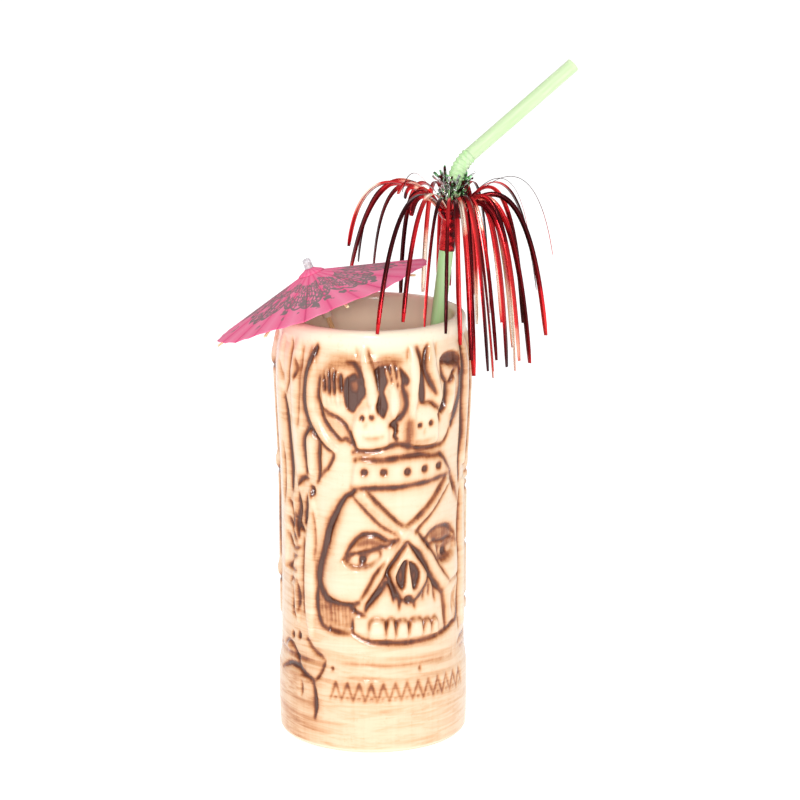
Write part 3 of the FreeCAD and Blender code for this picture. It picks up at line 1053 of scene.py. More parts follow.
class Carving(Relief):
    """The wall with everything that is carved in it."""

    def carve(self) -> None:
        """Cuts all the carving."""
        self.ground()
        self.pits()
        self.masks()
        self.headdress()
        self.face()
        self.mouth()
        self.plinth()
        self.left_column()
        self.right_side()
        self.back()
        self.settle()

    def ground(self) -> None:
        """Lays the thin stain that the wiping left on the plain ground, with painted shade down the lower
        left side, and draws the wall a little darker towards the foot.
        """
        # Painted shade: more wash and stain darken the lower left side of the wall.
        tan = np.exp(-(((self.azimuth + 82.0) / 26.0) ** 2))[None, :]
        low = 1.0 - smooth(50.0, 130.0, self.height)[:, None]
        # The wall is drawn a little darker towards the foot.
        foot = (1.0 - smooth(26.0, 40.0, self.height))[:, None]
        self.wash += 0.12 + 0.10 * tan * low + 0.05 * foot
        cheeks = np.exp(-(((self.azimuth + 6.0) / 46.0) ** 4))[None, :]
        faced = (smooth(44.0, 52.0, self.height) * (1.0 - smooth(150.0, 158.0, self.height)))[:, None]
        self.wash *= 1.0 - 0.66 * cheeks * faced
        self.stain += 0.05 + 0.08 * tan * low + 0.05 * foot

    def pits(self) -> None:
        """Arms that reach up out of three dark pits under the lip."""
        self.limb(5.2, 1.5, (-63, 160), (-64, 150), (-64, 139), (-60, 130), (-54, 124.5), (-47, 121.5))
        self.shade(4.5, 0.22, (-58, 150), (-56, 139), (-50, 133), (-42, 129))
        self.cut(2.1, 1.0, (-59, 164), (-62, 158), (-66, 152), (-68, 145), (-68, 137), (-65, 131),
                 (-62, 128), (-58, 125), (-55, 123), (-51, 121), depth=1.2)
        self.cut(1.1, 0.8, (-51, 121), (-49, 119), (-53, 114), (-58, 110.5), (-61, 107))
        self.shade(6.0, 0.34, (-55, 150), (-48, 155), (-40, 156), (-32, 154))
        self.pit(1.9, 0.92, (-41, 150), (-35, 152), (-31, 148), (-29, 146), (-31, 142), (-34, 139),
                 (-36, 137), (-39, 137.5), (-41, 140), (-42, 146))
        self.clean(0.55, (-38, 149), (-34, 149.5), (-33.5, 145.5), (-37, 144.5))
        self.cut(1.7, 0.95, (-41, 156.5), (-36, 156), (-33, 153), (-31, 150), (-29, 146), (-31, 143),
                 depth=0.7)
        self.mound(-50.0, 139.0, 5.5, 6.5, 1.3)
        for finger, top in ((-54.0, 148.0), (-51.8, 151.0), (-48.8, 151.5), (-45.6, 150.0)):
            self.limb(2.0, 1.7, (finger - 0.8, top + 1.5), (finger, top - 4.0), (finger + 0.9, top - 11.0))
        for gap, top, foot in ((-53.2, 150.5, 144.5), (-50.3, 152.5, 143.5), (-47.2, 152.5, 144.0),
                               (-43.8, 151.5, 145.0)):
            self.cut(1.0, 0.95, (gap, top), (gap + 0.4, foot), depth=0.8)
        self.cut(1.25, 0.85, (-57, 150), (-58.5, 143), (-57, 139), (-54, 133), (-49, 128.5), (-44, 125.5),
                 (-41, 126.5), (-39, 125), (-36, 124))
        self.cut(1.25, 0.85, (-56, 139), (-52, 136.5), (-46, 134.5), (-41, 131.5), (-38, 128), (-36, 125),
                 (-34, 122), (-31, 121.3))
        self.limb(4.2, 1.5, (-31, 163), (-27.5, 153), (-26, 146), (-24.5, 141), (-25, 135))
        self.cut(0.9, 0.6, (-28, 163), (-27, 159), (-25, 155), (-23, 151), depth=0.4)
        self.cut(0.8, 0.35, (-35, 163), (-34, 158), depth=0.3)
        self.pit(1.4, 0.95, (-20, 146), (-17.5, 143), (-16, 139), (-18, 135.5), (-20, 135), (-23, 138.5),
                 (-22, 142), edge=0.5)
        self.shade(4.0, 0.4, (-24, 155), (-17, 157), (-9, 156.5))
        self.pit(1.8, 0.95, (-24, 153), (-20, 155), (-12, 155), (-7, 153), (-3, 149), (-5, 147),
                 (-8, 147.5), (-12, 146), (-16, 148), (-18, 146), (-20, 143), (-22, 147))
        self.limb(4.0, 1.4, (-13.0, 147), (-12.0, 141), (-12.5, 135))
        for top, foot, high in ((-17.0, -14.2, 154.0), (-13.6, -11.6, 155.0), (-10.2, -8.8, 154.0)):
            self.limb(1.7, 0.7, (top, high), (foot, 145.5))
        self.cut(1.8, 0.95, (-8, 147), (-6, 144), (-5, 140), (-6, 137), (-9, 134.5), (-12, 133),
                 (-15, 131.5))
        self.pit(1.2, 0.92, (-15, 132), (-12, 133), (-10, 131), (-10.5, 129), (-11, 127.5), (-10, 126),
                 (-13, 127), (-12, 129.5), edge=0.4)
        self.cut(0.9, 0.5, (-3, 162), (-4, 157), depth=0.4)
        self.cut(1.6, 0.9, (2, 162), (4, 158), (5, 152), (5, 148))
        self.limb(4.0, 1.4, (-1, 162), (0.5, 154), (0.5, 147), (-1.0, 140), (-1, 134))
        self.pit(1.6, 0.92, (4, 152), (6, 151), (6.5, 147), (7, 143), (6.5, 140), (4, 139.5), (2.5, 143),
                 (3, 147), edge=0.5)
        self.limb(5.0, 1.5, (13, 162), (11.5, 154), (14, 147), (16, 141), (15, 136))
        self.cut(1.7, 0.95, (10, 162), (8, 158), (7, 153), (9, 149), (12, 145), (14, 142.5))
        self.cut(0.8, 0.45, (17, 162), (16, 157), depth=0.3)
        self.pit(1.3, 0.62, (19, 155), (24, 157), (33, 157), (38, 155), (39, 152), (33, 150), (27, 152),
                 (20, 153))
        self.cut(3.2, 0.85, (36, 151), (38, 146), (38, 142), (35, 137), (31, 132), (29, 128), depth=1.0)
        self.cut(0.9, 1.0, (40, 150), (40, 145), (38, 140), (35, 136), depth=0.4)
        self.limb(3.0, 1.2, (29, 148), (29, 142), (27, 134))
        self.cut(1.2, 0.9, (19, 153), (20, 149), (22, 147), (24, 145), (24, 141), (22, 137), (20, 134.5))
        self.cut(1.1, 0.85, (34, 150), (30, 149), (27, 146), (24, 145))
        self.pit(1.4, 0.95, (22, 145), (25, 145), (24.6, 141), (24, 136), (20, 134), (19, 136), (21.5, 140),
                 edge=0.5)
        self.cut(0.9, 0.7, (24, 154), (27, 152), (30, 153), depth=0.3)

    def masks(self) -> None:
        """Two small plain masks that peer over the headband."""
        for left, right, eyes, mouth in (
            (-37, -15.5, ((-31, 135), (-25.5, 135.3)), ((-30, 127.3), (-26, 126.6), (-19, 127.6))),
            (-2, 17, ((3.2, 131), (10.6, 131.3)), ((-0.5, 125), (5, 124.3), (13, 125.2))),
        ):
            middle, half = (left + right) / 2, (right - left) / 2
            self.pit(-1.3, 0.0, (middle - half * 0.8, 123), (left, 128), (left + 1.5, 134),
                     (middle - half * 0.4, 138.5), (middle + half * 0.4, 138.5), (right - 1.5, 134.5),
                     (right, 128), (middle + half * 0.8, 123))
            self.clean(0.8, (middle - half * 0.7, 124), (left + 2, 129), (middle - half * 0.5, 136.5),
                       (middle + half * 0.5, 136.5), (right - 2, 129), (middle + half * 0.7, 124))
            for azimuth, height in eyes:
                self.dot(azimuth, height, 1.05, 0.95)
            self.cut(0.9, 0.42, *mouth, depth=0.5)
            nose = (eyes[0][0] + eyes[1][0]) / 2
            self.cut(0.7, 0.3, (nose - 0.6, eyes[0][1] - 1.5), (nose - 0.9, eyes[0][1] - 4), depth=0.3)
        self.cut(1.2, 0.75, (6, 139.5), (10, 139.3), (14, 137.5), (17, 135.5), (18.5, 131))
        self.shade(4.0, 0.5, (-3.5, 123), (-3.2, 128), (-3.0, 132))
        for height in (131.5, 129.0, 126.0):
            self.dot(-10.5, height, 0.7, 0.8)

    def headdress(self) -> None:
        """The studded headband and the two straps that cross under it."""
        self.pit(-1.0, 0.0, (-38, 106.5), (-34, 119), (-20, 118.5), (0, 119), (20, 118), (30, 110),
                 (30, 109), (12, 107.5), (-12, 106.8), (-25, 106.8), edge=0.6)
        self.clean(0.8, (-36, 108), (-33, 117), (0, 118), (20, 116.5), (28, 110.5), (0, 108.5))
        self.cut(1.5, 0.85, (-37, 121), (-34, 121.5), (-28, 121.5), (-22, 122), (-16, 123), (-10, 124),
                 (-4, 123), (2, 122), (8, 121.5), (16, 121.5), (22, 122), (26, 125), (27, 127), depth=1.0)
        self.cut(1.5, 0.9, (-36, 118), (-31, 118.5), (-20, 118), (-10, 118.5), (3, 119), (12, 118),
                 (20, 117.5), (24, 114.5), (28, 111), (30, 109))
        self.cut(1.6, 0.95, (-38, 107), (-25, 107), (-12, 107), (0, 107.5), (12, 108), (22, 109),
                 (30, 109.5))
        self.cut(2.2, 0.6, (30, 109), (33, 106), (37, 101), (40, 97))
        for azimuth, height in ((-30, 113.3), (-18.5, 113.3), (-4, 113), (7.5, 113.3), (18, 113.5)):
            self.dot(azimuth, height, 1.45, 0.98, True)
        self.pit(-0.9, 0.0, (-30, 105.5), (-10, 93), (-4, 91), (10, 84), (22, 72), (29, 66), (24, 61.5),
                 (12, 71), (4, 80), (-2, 84.5), (-10, 88), (-20, 92), (-30, 98.5), (-38, 104), edge=0.5,
                 soft=False)
        self.pit(-0.9, 0.0, (25, 108), (5, 95), (-4, 91), (-10, 88), (-19, 70), (-29, 60.5), (-33, 62),
                 (-24, 72), (-3, 88), (12, 94), (20, 99), (30, 106), edge=0.5, soft=False)
        for width, stain, line in (
            (1.1, 0.85, ((-28, 105), (-10, 93), (-4, 91))),
            (1.1, 0.8, ((-38, 104), (-30, 98.5), (-20, 92), (-10, 88))),
            (1.1, 0.85, ((-4, 91), (5, 95), (15, 101), (25, 108))),
            (1.1, 0.8, ((2, 88), (12, 94), (20, 99), (28, 104), (30, 106))),
            (1.0, 0.75, ((4, 88), (10, 84), (15, 79), (22, 72), (29, 66))),
            (1.5, 0.9, ((-2, 84), (4, 80), (9, 75), (12, 71), (18, 66), (24, 61.5))),
            (1.0, 0.75, ((-18, 77), (-24, 72), (-28, 67), (-33, 62))),
            (1.1, 0.75, ((-13, 77), (-19, 70), (-23, 66), (-29, 60.5))),
            (0.8, 0.4, ((-7, 86), (-12, 82))),
        ):
            self.cut(width, stain, *line, depth=0.8)
        for step in range(7):
            self.cut(0.7, 0.3, (-34 + 3.6 * step, 103.5 - 2.1 * step),
                     (-31 + 3.6 * step, 101.8 - 2.1 * step), depth=0.25)
            self.cut(0.7, 0.25, (3 + 3.6 * step, 91.5 + 2.2 * step), (5.5 + 3.6 * step, 90.5 + 2.2 * step),
                     depth=0.25)

    def face(self) -> None:
        """The big carved face: its hood, eyes, cheeks and nose."""
        self.mound(-47.0, 71.0, 9.0, 8.0, 1.6)
        self.mound(33.0, 70.0, 8.0, 9.0, 1.3)
        self.mound(-24.0, 97.0, 9.0, 7.0, 0.6)
        self.mound(14.0, 97.0, 8.0, 6.0, 0.5)
        self.cut(2.7, 1.0, (-36, 106), (-38, 104.5), (-42, 103), (-46, 99), (-50, 94), (-53, 89), (-55, 84),
                 (-57, 79), (-59, 74), (-60, 69), (-58, 65), (-55, 62), (-50, 60.5), (-44, 60), (-38, 60),
                 (-34, 61), depth=1.5)
        self.shade(4.5, 0.34, (-46, 97), (-51, 88), (-54, 80))
        self.cut(1.5, 0.85, (-60, 70), (-61.5, 62), (-61, 56), (-58, 51), (-52, 49), (-45, 48.5),
                 (-38, 48.5))
        self.pit(1.0, 0.26, (-60, 63), (-55, 61), (-45, 60), (-36, 59.5), (-38, 54), (-38, 49.5),
                 (-50, 49.5), (-57, 51), (-61, 56))
        for step in range(8):
            self.cut(0.75, 0.5, (-58.5 + 2.6 * step, 60.0), (-57.0 + 2.5 * step, 52.0 - 0.2 * step),
                     depth=0.4)
        for step in range(3):
            self.cut(0.7, 0.42, (-60.0, 59.0 - 2.8 * step), (-40.0, 57.5 - 2.8 * step), depth=0.3)
        self.cut(1.7, 0.85, (-42, 80), (-37, 85), (-32, 88), (-27, 88.6), (-22, 88), (-17, 86), (-12, 85.5),
                 (-9, 86.5))
        self.shade(2.8, 0.52, (-34, 84.5), (-27, 85.5), (-19, 84.2))
        self.cut(1.1, 0.9, (-44, 78), (-40, 80), (-34, 80.8), (-28, 81.8), (-20, 83.2), (-14, 84), (-9, 86))
        self.pit(1.3, 0.5, (-43, 78.5), (-36, 80.5), (-28, 81.5), (-20, 82), (-20, 79), (-24, 77),
                 (-29, 75.5), (-36, 75), (-42, 77), edge=0.5)
        # Painted highlights: stain wiped clean from two patches of the left eye, drawn as glints.
        self.clean(1.0, (-41.5, 76.6), (-36, 80.2), (-33.4, 78.6), (-35, 76.0), (-38.5, 75.6))
        self.clean(1.0, (-29.6, 76.4), (-27, 80.2), (-21.5, 81.0), (-20.6, 79.0), (-25, 76.6))
        self.dot(-31.5, 78.0, 1.5, 0.9)
        self.cut(0.9, 0.6, (-42, 76.8), (-36, 74.8), (-29, 75.2), (-23, 77.2))
        self.cut(1.5, 0.8, (8, 84), (13, 87), (20, 88.7), (27, 88.5), (33, 86.5), (38, 82.5))
        self.pit(0.8, 0.45, (12, 86), (20, 88), (30, 88), (35, 84), (30, 82), (20, 82), (14, 84), edge=0.6)
        self.cut(1.0, 0.9, (11, 82), (17, 83.2), (24, 82.3), (31, 83), (40, 80.5))
        self.pit(1.3, 0.5, (18, 82), (24, 81), (30, 82), (39, 80), (36, 78), (30, 75.5), (24, 74.5),
                 (20, 77), edge=0.5)
        # Painted highlights: the same kind of glints, wiped clean in the right eye.
        self.clean(0.85, (20.5, 78), (23, 80), (24, 77.5))
        self.clean(0.85, (28, 79.5), (37, 80.2), (36, 78.4), (30, 77.4))
        self.dot(26.2, 78.0, 1.5, 0.9)
        self.cut(1.4, 0.8, (5, 87), (10, 83), (14, 80))
        self.cut(0.9, 0.6, (17, 78), (21, 75.2), (27, 74.3), (34, 76.2))
        self.pit(-1.5, 0.0, (-3, 84), (-8, 79), (-14, 74), (-13, 68), (-8, 62), (0, 61), (6, 63), (11, 70),
                 (6, 76.5), edge=0.9)
        self.clean(0.7, (-3, 83), (-12, 73), (-11, 67), (0, 62), (9, 70))
        self.cut(1.5, 0.9, (-3, 85), (-8, 81), (-13, 76.5), (-16, 73), (-13, 68), (-9, 63), (-5, 61.5),
                 (0, 61), (4, 63), (9, 67), (11.5, 71), (8, 75), (3, 79), (-3, 85))
        self.pit(1.9, 0.84, (-11, 71.5), (-9, 74.5), (-6, 77.5), (-3.4, 77.5), (-4.5, 73), (-5, 68),
                 (-7, 66), (-10, 68.5), edge=0.35)
        self.pit(1.9, 0.84, (-2.8, 77.5), (1, 76), (4.4, 72.5), (4, 69), (2, 66), (0, 66), (-1, 70),
                 (-2, 74), edge=0.35)
        self.clean(0.55, (-9.2, 72), (-7.5, 74.5), (-6.5, 71), (-8, 68.5))
        self.clean(0.55, (0.8, 73.5), (2.6, 71.5), (1.4, 68.3), (0.3, 70))
        self.pit(1.2, 0.95, (-6, 63), (-3, 63.8), (0, 62.5), (-2, 60.3), (-4, 60.3), edge=0.4)

    def mouth(self) -> None:
        """The upper jaw with its row of teeth, and the chin line."""
        self.pit(0.6, 0.05, (-38, 59), (-31, 60), (-20, 66), (-12, 63), (0, 60), (12, 64), (20, 62),
                 (27, 57), (27, 47), (14, 45.5), (-8, 45.2), (-28, 46.5), (-38, 50), edge=1.2)
        self.mound(-14.0, 57.0, 8.0, 3.0, 0.9)
        self.mound(8.0, 57.5, 8.0, 3.0, 0.9)
        self.cut(1.8, 0.9, (-18, 69), (-15, 68.5), (-13, 66), (-11, 62.5))
        self.cut(2.0, 0.9, (-17, 69), (-20, 66), (-24, 63), (-28, 60), (-30, 57.5))
        self.cut(1.6, 0.8, (-30, 55.5), (-36, 57), (-40, 59))
        for line in (
            ((-13, 66), (-12, 61)), ((-8, 62), (-8.5, 58)), ((8, 66), (8, 61)),
            ((12, 67), (12.5, 62)), ((16, 67), (17, 62), (18, 59)), ((2, 61), (2, 58)),
        ):
            self.cut(1.1, 0.62, *line, depth=0.5)
        self.cut(2.0, 0.6, (10, 70), (14, 69), (18, 65), (22, 63), (25, 60), (27, 55), (27.5, 47))
        for low, high, top in (
            (-27.5, -17.2, 53.8), (-16.6, -11.0, 54.0), (-10.4, -2.6, 53.0),
            (-1.6, 7.6, 53.0), (8.4, 13.8, 52.2), (14.6, 20.0, 52.0),
        ):
            self.pit(-1.6, 0.0, (low + 0.4, 46.6), (low, 50), (low + 1.2, top), (high - 1.2, top),
                     (high, 50), (high - 0.4, 46.6), edge=0.5)
            self.clean(0.85, (low + 0.8, 47), (low + 0.8, 51), ((low + high) / 2, top), (high - 0.8, 51),
                       (high - 0.8, 47))
            self.cut(0.75, 0.7, (low, 50.3), (low + 1.0, top), ((low + high) / 2, top + 0.7),
                     (high - 1.0, top), (high, 50.3), depth=0.3)
            self.cut(0.7, 0.58, (high + 0.4, top - 0.5), (high + 0.3, 47.6), depth=0.6)
        self.cut(1.6, 0.8, (-38, 54), (-38, 49.5), (-35, 47.5), (-28, 45.5), (-18, 44.8), (-8, 44.2),
                 (4, 44.2), (14, 44.5), (24, 45.5), (33, 47.5), (39, 49.5), (41, 56), (42, 63), (43, 66))
        self.cut(0.9, 0.45, (29, 65), (34, 66), (42, 66.5), (47, 67))
        self.cut(0.9, 0.4, (35, 62), (34, 58), (35, 52))
        self.cut(0.9, 0.4, (38, 63), (36, 58), (38, 53))

    def plinth(self) -> None:
        """The plinth's edge lines and its band of plain chevrons."""
        for turn in range(4):
            self.at(90.0 * turn)
            self.cut(1.2, 0.5, (-56, 36.5), (-45, 36.5), (-30, 36), (-10, 35.5), (10, 35.5), (30, 35),
                     (34, 35.6), depth=0.6)
            self.shade(2.6, 0.22, (-56, 38.5), (-30, 38), (0, 37.5), (34, 37.5))
        self.at(0.0)
        for step in range(13):
            left = -52.0 + 7.4 * step
            self.cut(1.15, 0.48, (left, 21.5), (left + 3.7, 28.5), (left + 7.4, 21.5), depth=0.6,
                     soft=False)
            self.dot(left + 3.7, 22.6, 0.7, 0.45)
        self.cut(0.8, 0.3, (-54, 31.2), (-20, 30.6), (10, 30.4), (45, 30.2), depth=0.35)
        self.cut(0.8, 0.24, (-40, 17.6), (-25, 17), (-10, 17.3), (5, 16.4), (15, 18), (40, 17), depth=0.3)
        self.dot(-51.0, 33.4, 0.9, 0.6)
        self.dot(5.5, 33.2, 0.9, 0.6)

    def left_column(self) -> None:
        """Bones and roots that stand beside the face."""
        self.limb(5.5, 1.3, (-64, 128), (-64.5, 119), (-65, 111))
        self.limb(6.5, 1.2, (-76, 163), (-76, 140), (-75, 120), (-75, 104))
        self.limb(7.0, 1.2, (-95, 163), (-95, 130), (-93, 100), (-93, 70))
        self.limb(6.0, 1.2, (-66, 103), (-65, 90), (-68, 74), (-68, 56), (-67, 46))
        self.limb(5.5, 1.0, (-81, 100), (-79, 84), (-80, 66), (-79, 50))
        self.cut(1.5, 0.9, (-66, 131), (-64, 129), (-69, 126), (-70, 122), (-69, 115), (-69, 110))
        self.cut(1.2, 0.85, (-69, 126), (-66, 128.5), (-62, 127.5), (-59, 125))
        self.cut(1.4, 0.85, (-58, 125), (-59, 118), (-59, 113), (-60, 108))
        self.cut(2.3, 0.9, (-89, 139), (-87, 133), (-86, 125), (-85, 118), (-84, 110), (-84, 102),
                 depth=1.1)
        self.cut(1.5, 0.8, (-76, 155), (-74, 151), (-77, 147))
        self.cut(0.9, 0.45, (-94, 152), (-92, 148), (-90, 145))
        self.cut(1.4, 0.55, (-82, 163), (-83, 154), (-84, 146), (-87, 140))
        self.cut(1.1, 0.5, (-71, 160), (-72, 150), (-73, 138), (-74, 128))
        self.cut(1.6, 0.85, (-76, 105), (-72, 108), (-68, 108))
        self.cut(1.6, 0.85, (-66, 105.5), (-64, 104), (-65, 101.5))
        self.cut(1.9, 0.9, (-69, 101), (-70, 96), (-71, 90))
        self.cut(1.5, 0.8, (-88, 97), (-84, 94), (-82, 90), (-83, 86))
        self.cut(1.3, 0.75, (-88, 90), (-84, 86), (-78, 82))
        self.cut(1.3, 0.7, (-85, 75), (-78, 76))
        self.cut(1.3, 0.7, (-82, 74), (-90, 70), (-79, 70))
        self.cut(1.4, 0.7, (-84, 62), (-85, 53))
        self.cut(1.4, 0.65, (-86, 52), (-80, 51))
        self.cut(1.2, 0.6, (-73, 84), (-73.5, 74), (-74, 64), (-73, 54))
        self.cut(1.0, 0.45, (-64, 96), (-62.5, 86), (-64, 76))
        self.cut(1.7, 0.85, (-77, 101), (-76, 95), (-77.5, 89), (-76.5, 84))
        self.cut(1.3, 0.75, (-80, 93), (-76.5, 89), (-72, 86))
        self.cut(1.4, 0.7, (-90, 84), (-86, 80), (-80, 79), (-75, 80))
        self.cut(1.2, 0.65, (-79, 66), (-77, 60), (-78, 54))
        self.cut(1.2, 0.6, (-89, 64), (-86, 66), (-80, 65.5))
        self.cut(1.1, 0.5, (-92, 120), (-91, 108), (-92, 96))
        self.pit(1.0, 0.8, (-79, 45.5), (-76.5, 44.5), (-77, 42.5), (-79.5, 43), edge=0.4)
        self.pit(1.0, 0.8, (-86.5, 44.5), (-84, 43.8), (-84.5, 41.8), (-87, 42.4), edge=0.4)
        self.cut(2.0, 0.6, (-71, 44), (-66, 40), (-60, 38), (-56, 36.5))
        self.cut(1.3, 0.6, (-56, 36), (-59, 31), (-62, 28))
        self.cut(2.0, 0.8, (-98, 28), (-90, 30.5), (-84, 31.5), (-78, 31), (-72, 29.5), (-67, 28.5),
                 (-63, 27.5))
        self.cut(1.5, 0.7, (-98, 38), (-90, 40), (-84, 38), (-79, 34), (-76, 31.5))
        self.mound(-90.0, 37.5, 3.5, 2.5, 0.9)
        self.cut(1.8, 0.75, (-64, 27), (-63, 23), (-62, 18), (-63, 12.5))
        self.cut(1.2, 0.5, (-74, 26), (-74, 20))

    def right_side(self) -> None:
        """The same bones and roots on the other side, turned about the face, with their own joints."""
        self.at(-18.0, -1.0)
        self.limb(5.5, 1.3, (-64, 163), (-65, 142), (-64.5, 119), (-65, 111))
        self.limb(6.5, 1.2, (-77, 163), (-76, 140), (-75, 120), (-75, 104))
        self.limb(6.0, 1.2, (-66, 103), (-65, 90), (-68, 74), (-68, 56), (-67, 46))
        self.limb(5.5, 1.0, (-82, 100), (-80, 84), (-80, 66), (-79, 50))
        self.cut(1.6, 0.9, (-59, 163), (-60, 150), (-59, 138), (-60, 124), (-59, 113), (-60, 104))
        self.cut(1.8, 0.9, (-70, 160), (-70.5, 146), (-70, 122), (-69, 110))
        self.cut(2.2, 0.9, (-84, 150), (-87, 133), (-86, 125), (-84, 110), (-84, 102), depth=1.1)
        for height in (107.0, 98.0, 76.0, 54.0):
            self.cut(1.5, 0.75, (-88, height - 2), (-84, height), (-78, height + 0.5), (-72, height - 1.5))
        self.cut(1.9, 0.9, (-69, 101), (-70, 96), (-72, 88), (-73, 74), (-73, 56))
        self.cut(1.4, 0.65, (-62, 100), (-60, 86), (-61, 70), (-60, 54), (-62, 44))
        self.cut(1.6, 0.7, (-86, 92), (-86, 78), (-87, 62), (-85, 46))
        self.cut(1.8, 0.6, (-98, 40), (-88, 41), (-76, 40), (-66, 40), (-60, 38))

    def back(self) -> None:
        """Roots, bones and dark hollows all round the back."""
        for shift, way in ((100.0, 1.0), (141.0, -1.0), (179.0, 1.0), (220.0, -1.0)):
            self.at(shift, way)
            self.limb(6.0, 1.5, (-22, 163), (-20, 150), (-15, 138), (-12, 122), (-14, 104), (-11, 84),
                      (-13, 60), (-10, 40))
            self.limb(6.5, 1.4, (12, 163), (10, 148), (5, 136), (4, 120), (8, 100), (4, 78), (6, 56),
                      (3, 40))
            self.pit(1.7, 0.92, (-8, 156), (0, 158), (4, 150), (1, 141), (-3, 137), (-8, 142), (-11, 150),
                     edge=0.8)
            self.limb(2.2, 0.9, (-5, 155), (-4, 146), (-4, 138))
            self.limb(2.0, 0.8, (-1, 155), (-1, 147), (-3, 139))
            self.cut(2.3, 0.95, (-17, 163), (-15, 150), (-10, 138), (-7, 124), (-8, 108), (-6, 96),
                     (-7, 80), (-8, 60), (-6, 42), depth=1.2)
            self.cut(2.0, 0.9, (7, 162), (5, 150), (0, 138), (-1, 122), (3, 104), (0, 84), (1, 62),
                     (-2, 44), depth=1.1)
            self.cut(1.8, 0.85, (16, 160), (15, 146), (10, 132), (9, 118), (13, 100), (9, 80), (11, 58),
                     (8, 44))
            self.pit(1.3, 0.85, (-4, 104), (0, 100), (-1, 92), (-4, 88), (-6, 96), edge=0.6)
            self.pit(1.2, 0.8, (-5, 72), (-2, 68), (-2, 60), (-5, 58), edge=0.6)
            for height in (128.0, 112.0, 92.0, 70.0, 50.0):
                self.cut(1.4, 0.62, (-16, height), (-12, height + 2), (-8, height - 1))
                self.cut(1.3, 0.55, (4, height - 6), (8, height - 4), (11, height - 7))
            self.cut(1.0, 0.45, (-13, 150), (-11, 132), (-11, 118))
            self.cut(1.0, 0.4, (6, 118), (9, 98), (6, 76))
        for shift in (120.0, 160.0, 200.0, 238.0):
            self.at(shift)
            self.limb(5.5, 1.3, (0, 150), (-1, 128), (0, 106), (1, 84), (0, 62), (-1, 46))
            for height in (150.0, 108.0, 64.0):
                self.mound(-2.2, height, 2.6, 3.0, 1.1)
                self.mound(2.2, height, 2.6, 3.0, 1.1)
                self.cut(1.3, 0.8, (-6, height - 1), (-3, height - 4.5), (0, height - 3.4),
                         (3, height - 4.5), (6, height - 1))
                self.cut(1.1, 0.7, (-1.0, height + 4.5), (0, height + 2.0), (1.0, height + 4.5))
            for side in (-1.0, 1.0):
                self.cut(1.5, 0.8, (5 * side, 144), (4.5 * side, 126), (5 * side, 112))
                self.cut(1.4, 0.75, (5 * side, 102), (4.5 * side, 84), (5 * side, 70))
                self.cut(1.4, 0.7, (5 * side, 58), (4.5 * side, 46))
        for step in range(13):
            self.at(62.0 + 14.5 * step)
            long = 6.0 * math.sin(2.3 * step)
            self.cut(1.5, 0.5 + 0.02 * long, (0, 34), (2, 28), (1, 20 + long * 0.5), (3, 13 + long))
            self.cut(1.1, 0.36, (6, 33), (7 - 0.2 * long, 27), (6, 21 - long * 0.6))
            self.cut(0.9, 0.26, (2, 13), (6 + 0.2 * long, 15), (11, 12))

    def settle(self) -> None:
        """Rounds off the cuts, pools stain in the hollows and fades the carving at the edges."""

        def spread(values: np.ndarray, times: int) -> np.ndarray:
            """Averages each value with its neighbours a number of times."""
            for _ in range(times):
                padded = np.pad(values, ((1, 1), (0, 0)), "edge")
                values = (padded[:-2] + 2 * values + padded[2:]) / 4
                values = (np.roll(values, 1, 1) + 2 * values + np.roll(values, -1, 1)) / 4
            return values

        self.rise = np.clip(self.rise, -2.3, 1.9)
        self.rise = 0.45 * self.rise + 0.55 * spread(self.rise, 1)
        hollow = spread(self.rise, 12) - self.rise
        self.stain = spread(self.stain, 1)
        pooled = 0.24 * spread(self.stain, 26) + 0.08 * spread(np.roll(self.stain, -3, axis=0), 10)
        self.stain = np.clip(self.stain * 0.86 + pooled + np.clip(hollow, 0.0, 1.0) * 0.20, 0.0, 1.0)
        fade = smooth(3.0, 8.0, self.height) * (1.0 - smooth(159.0, 163.5, self.height))
        self.rise *= fade[:, None]
        clean = 1.0 - smooth(160.0, 164.0, self.height)
        self.stain *= clean[:, None]
        self.wash *= clean[:, None]


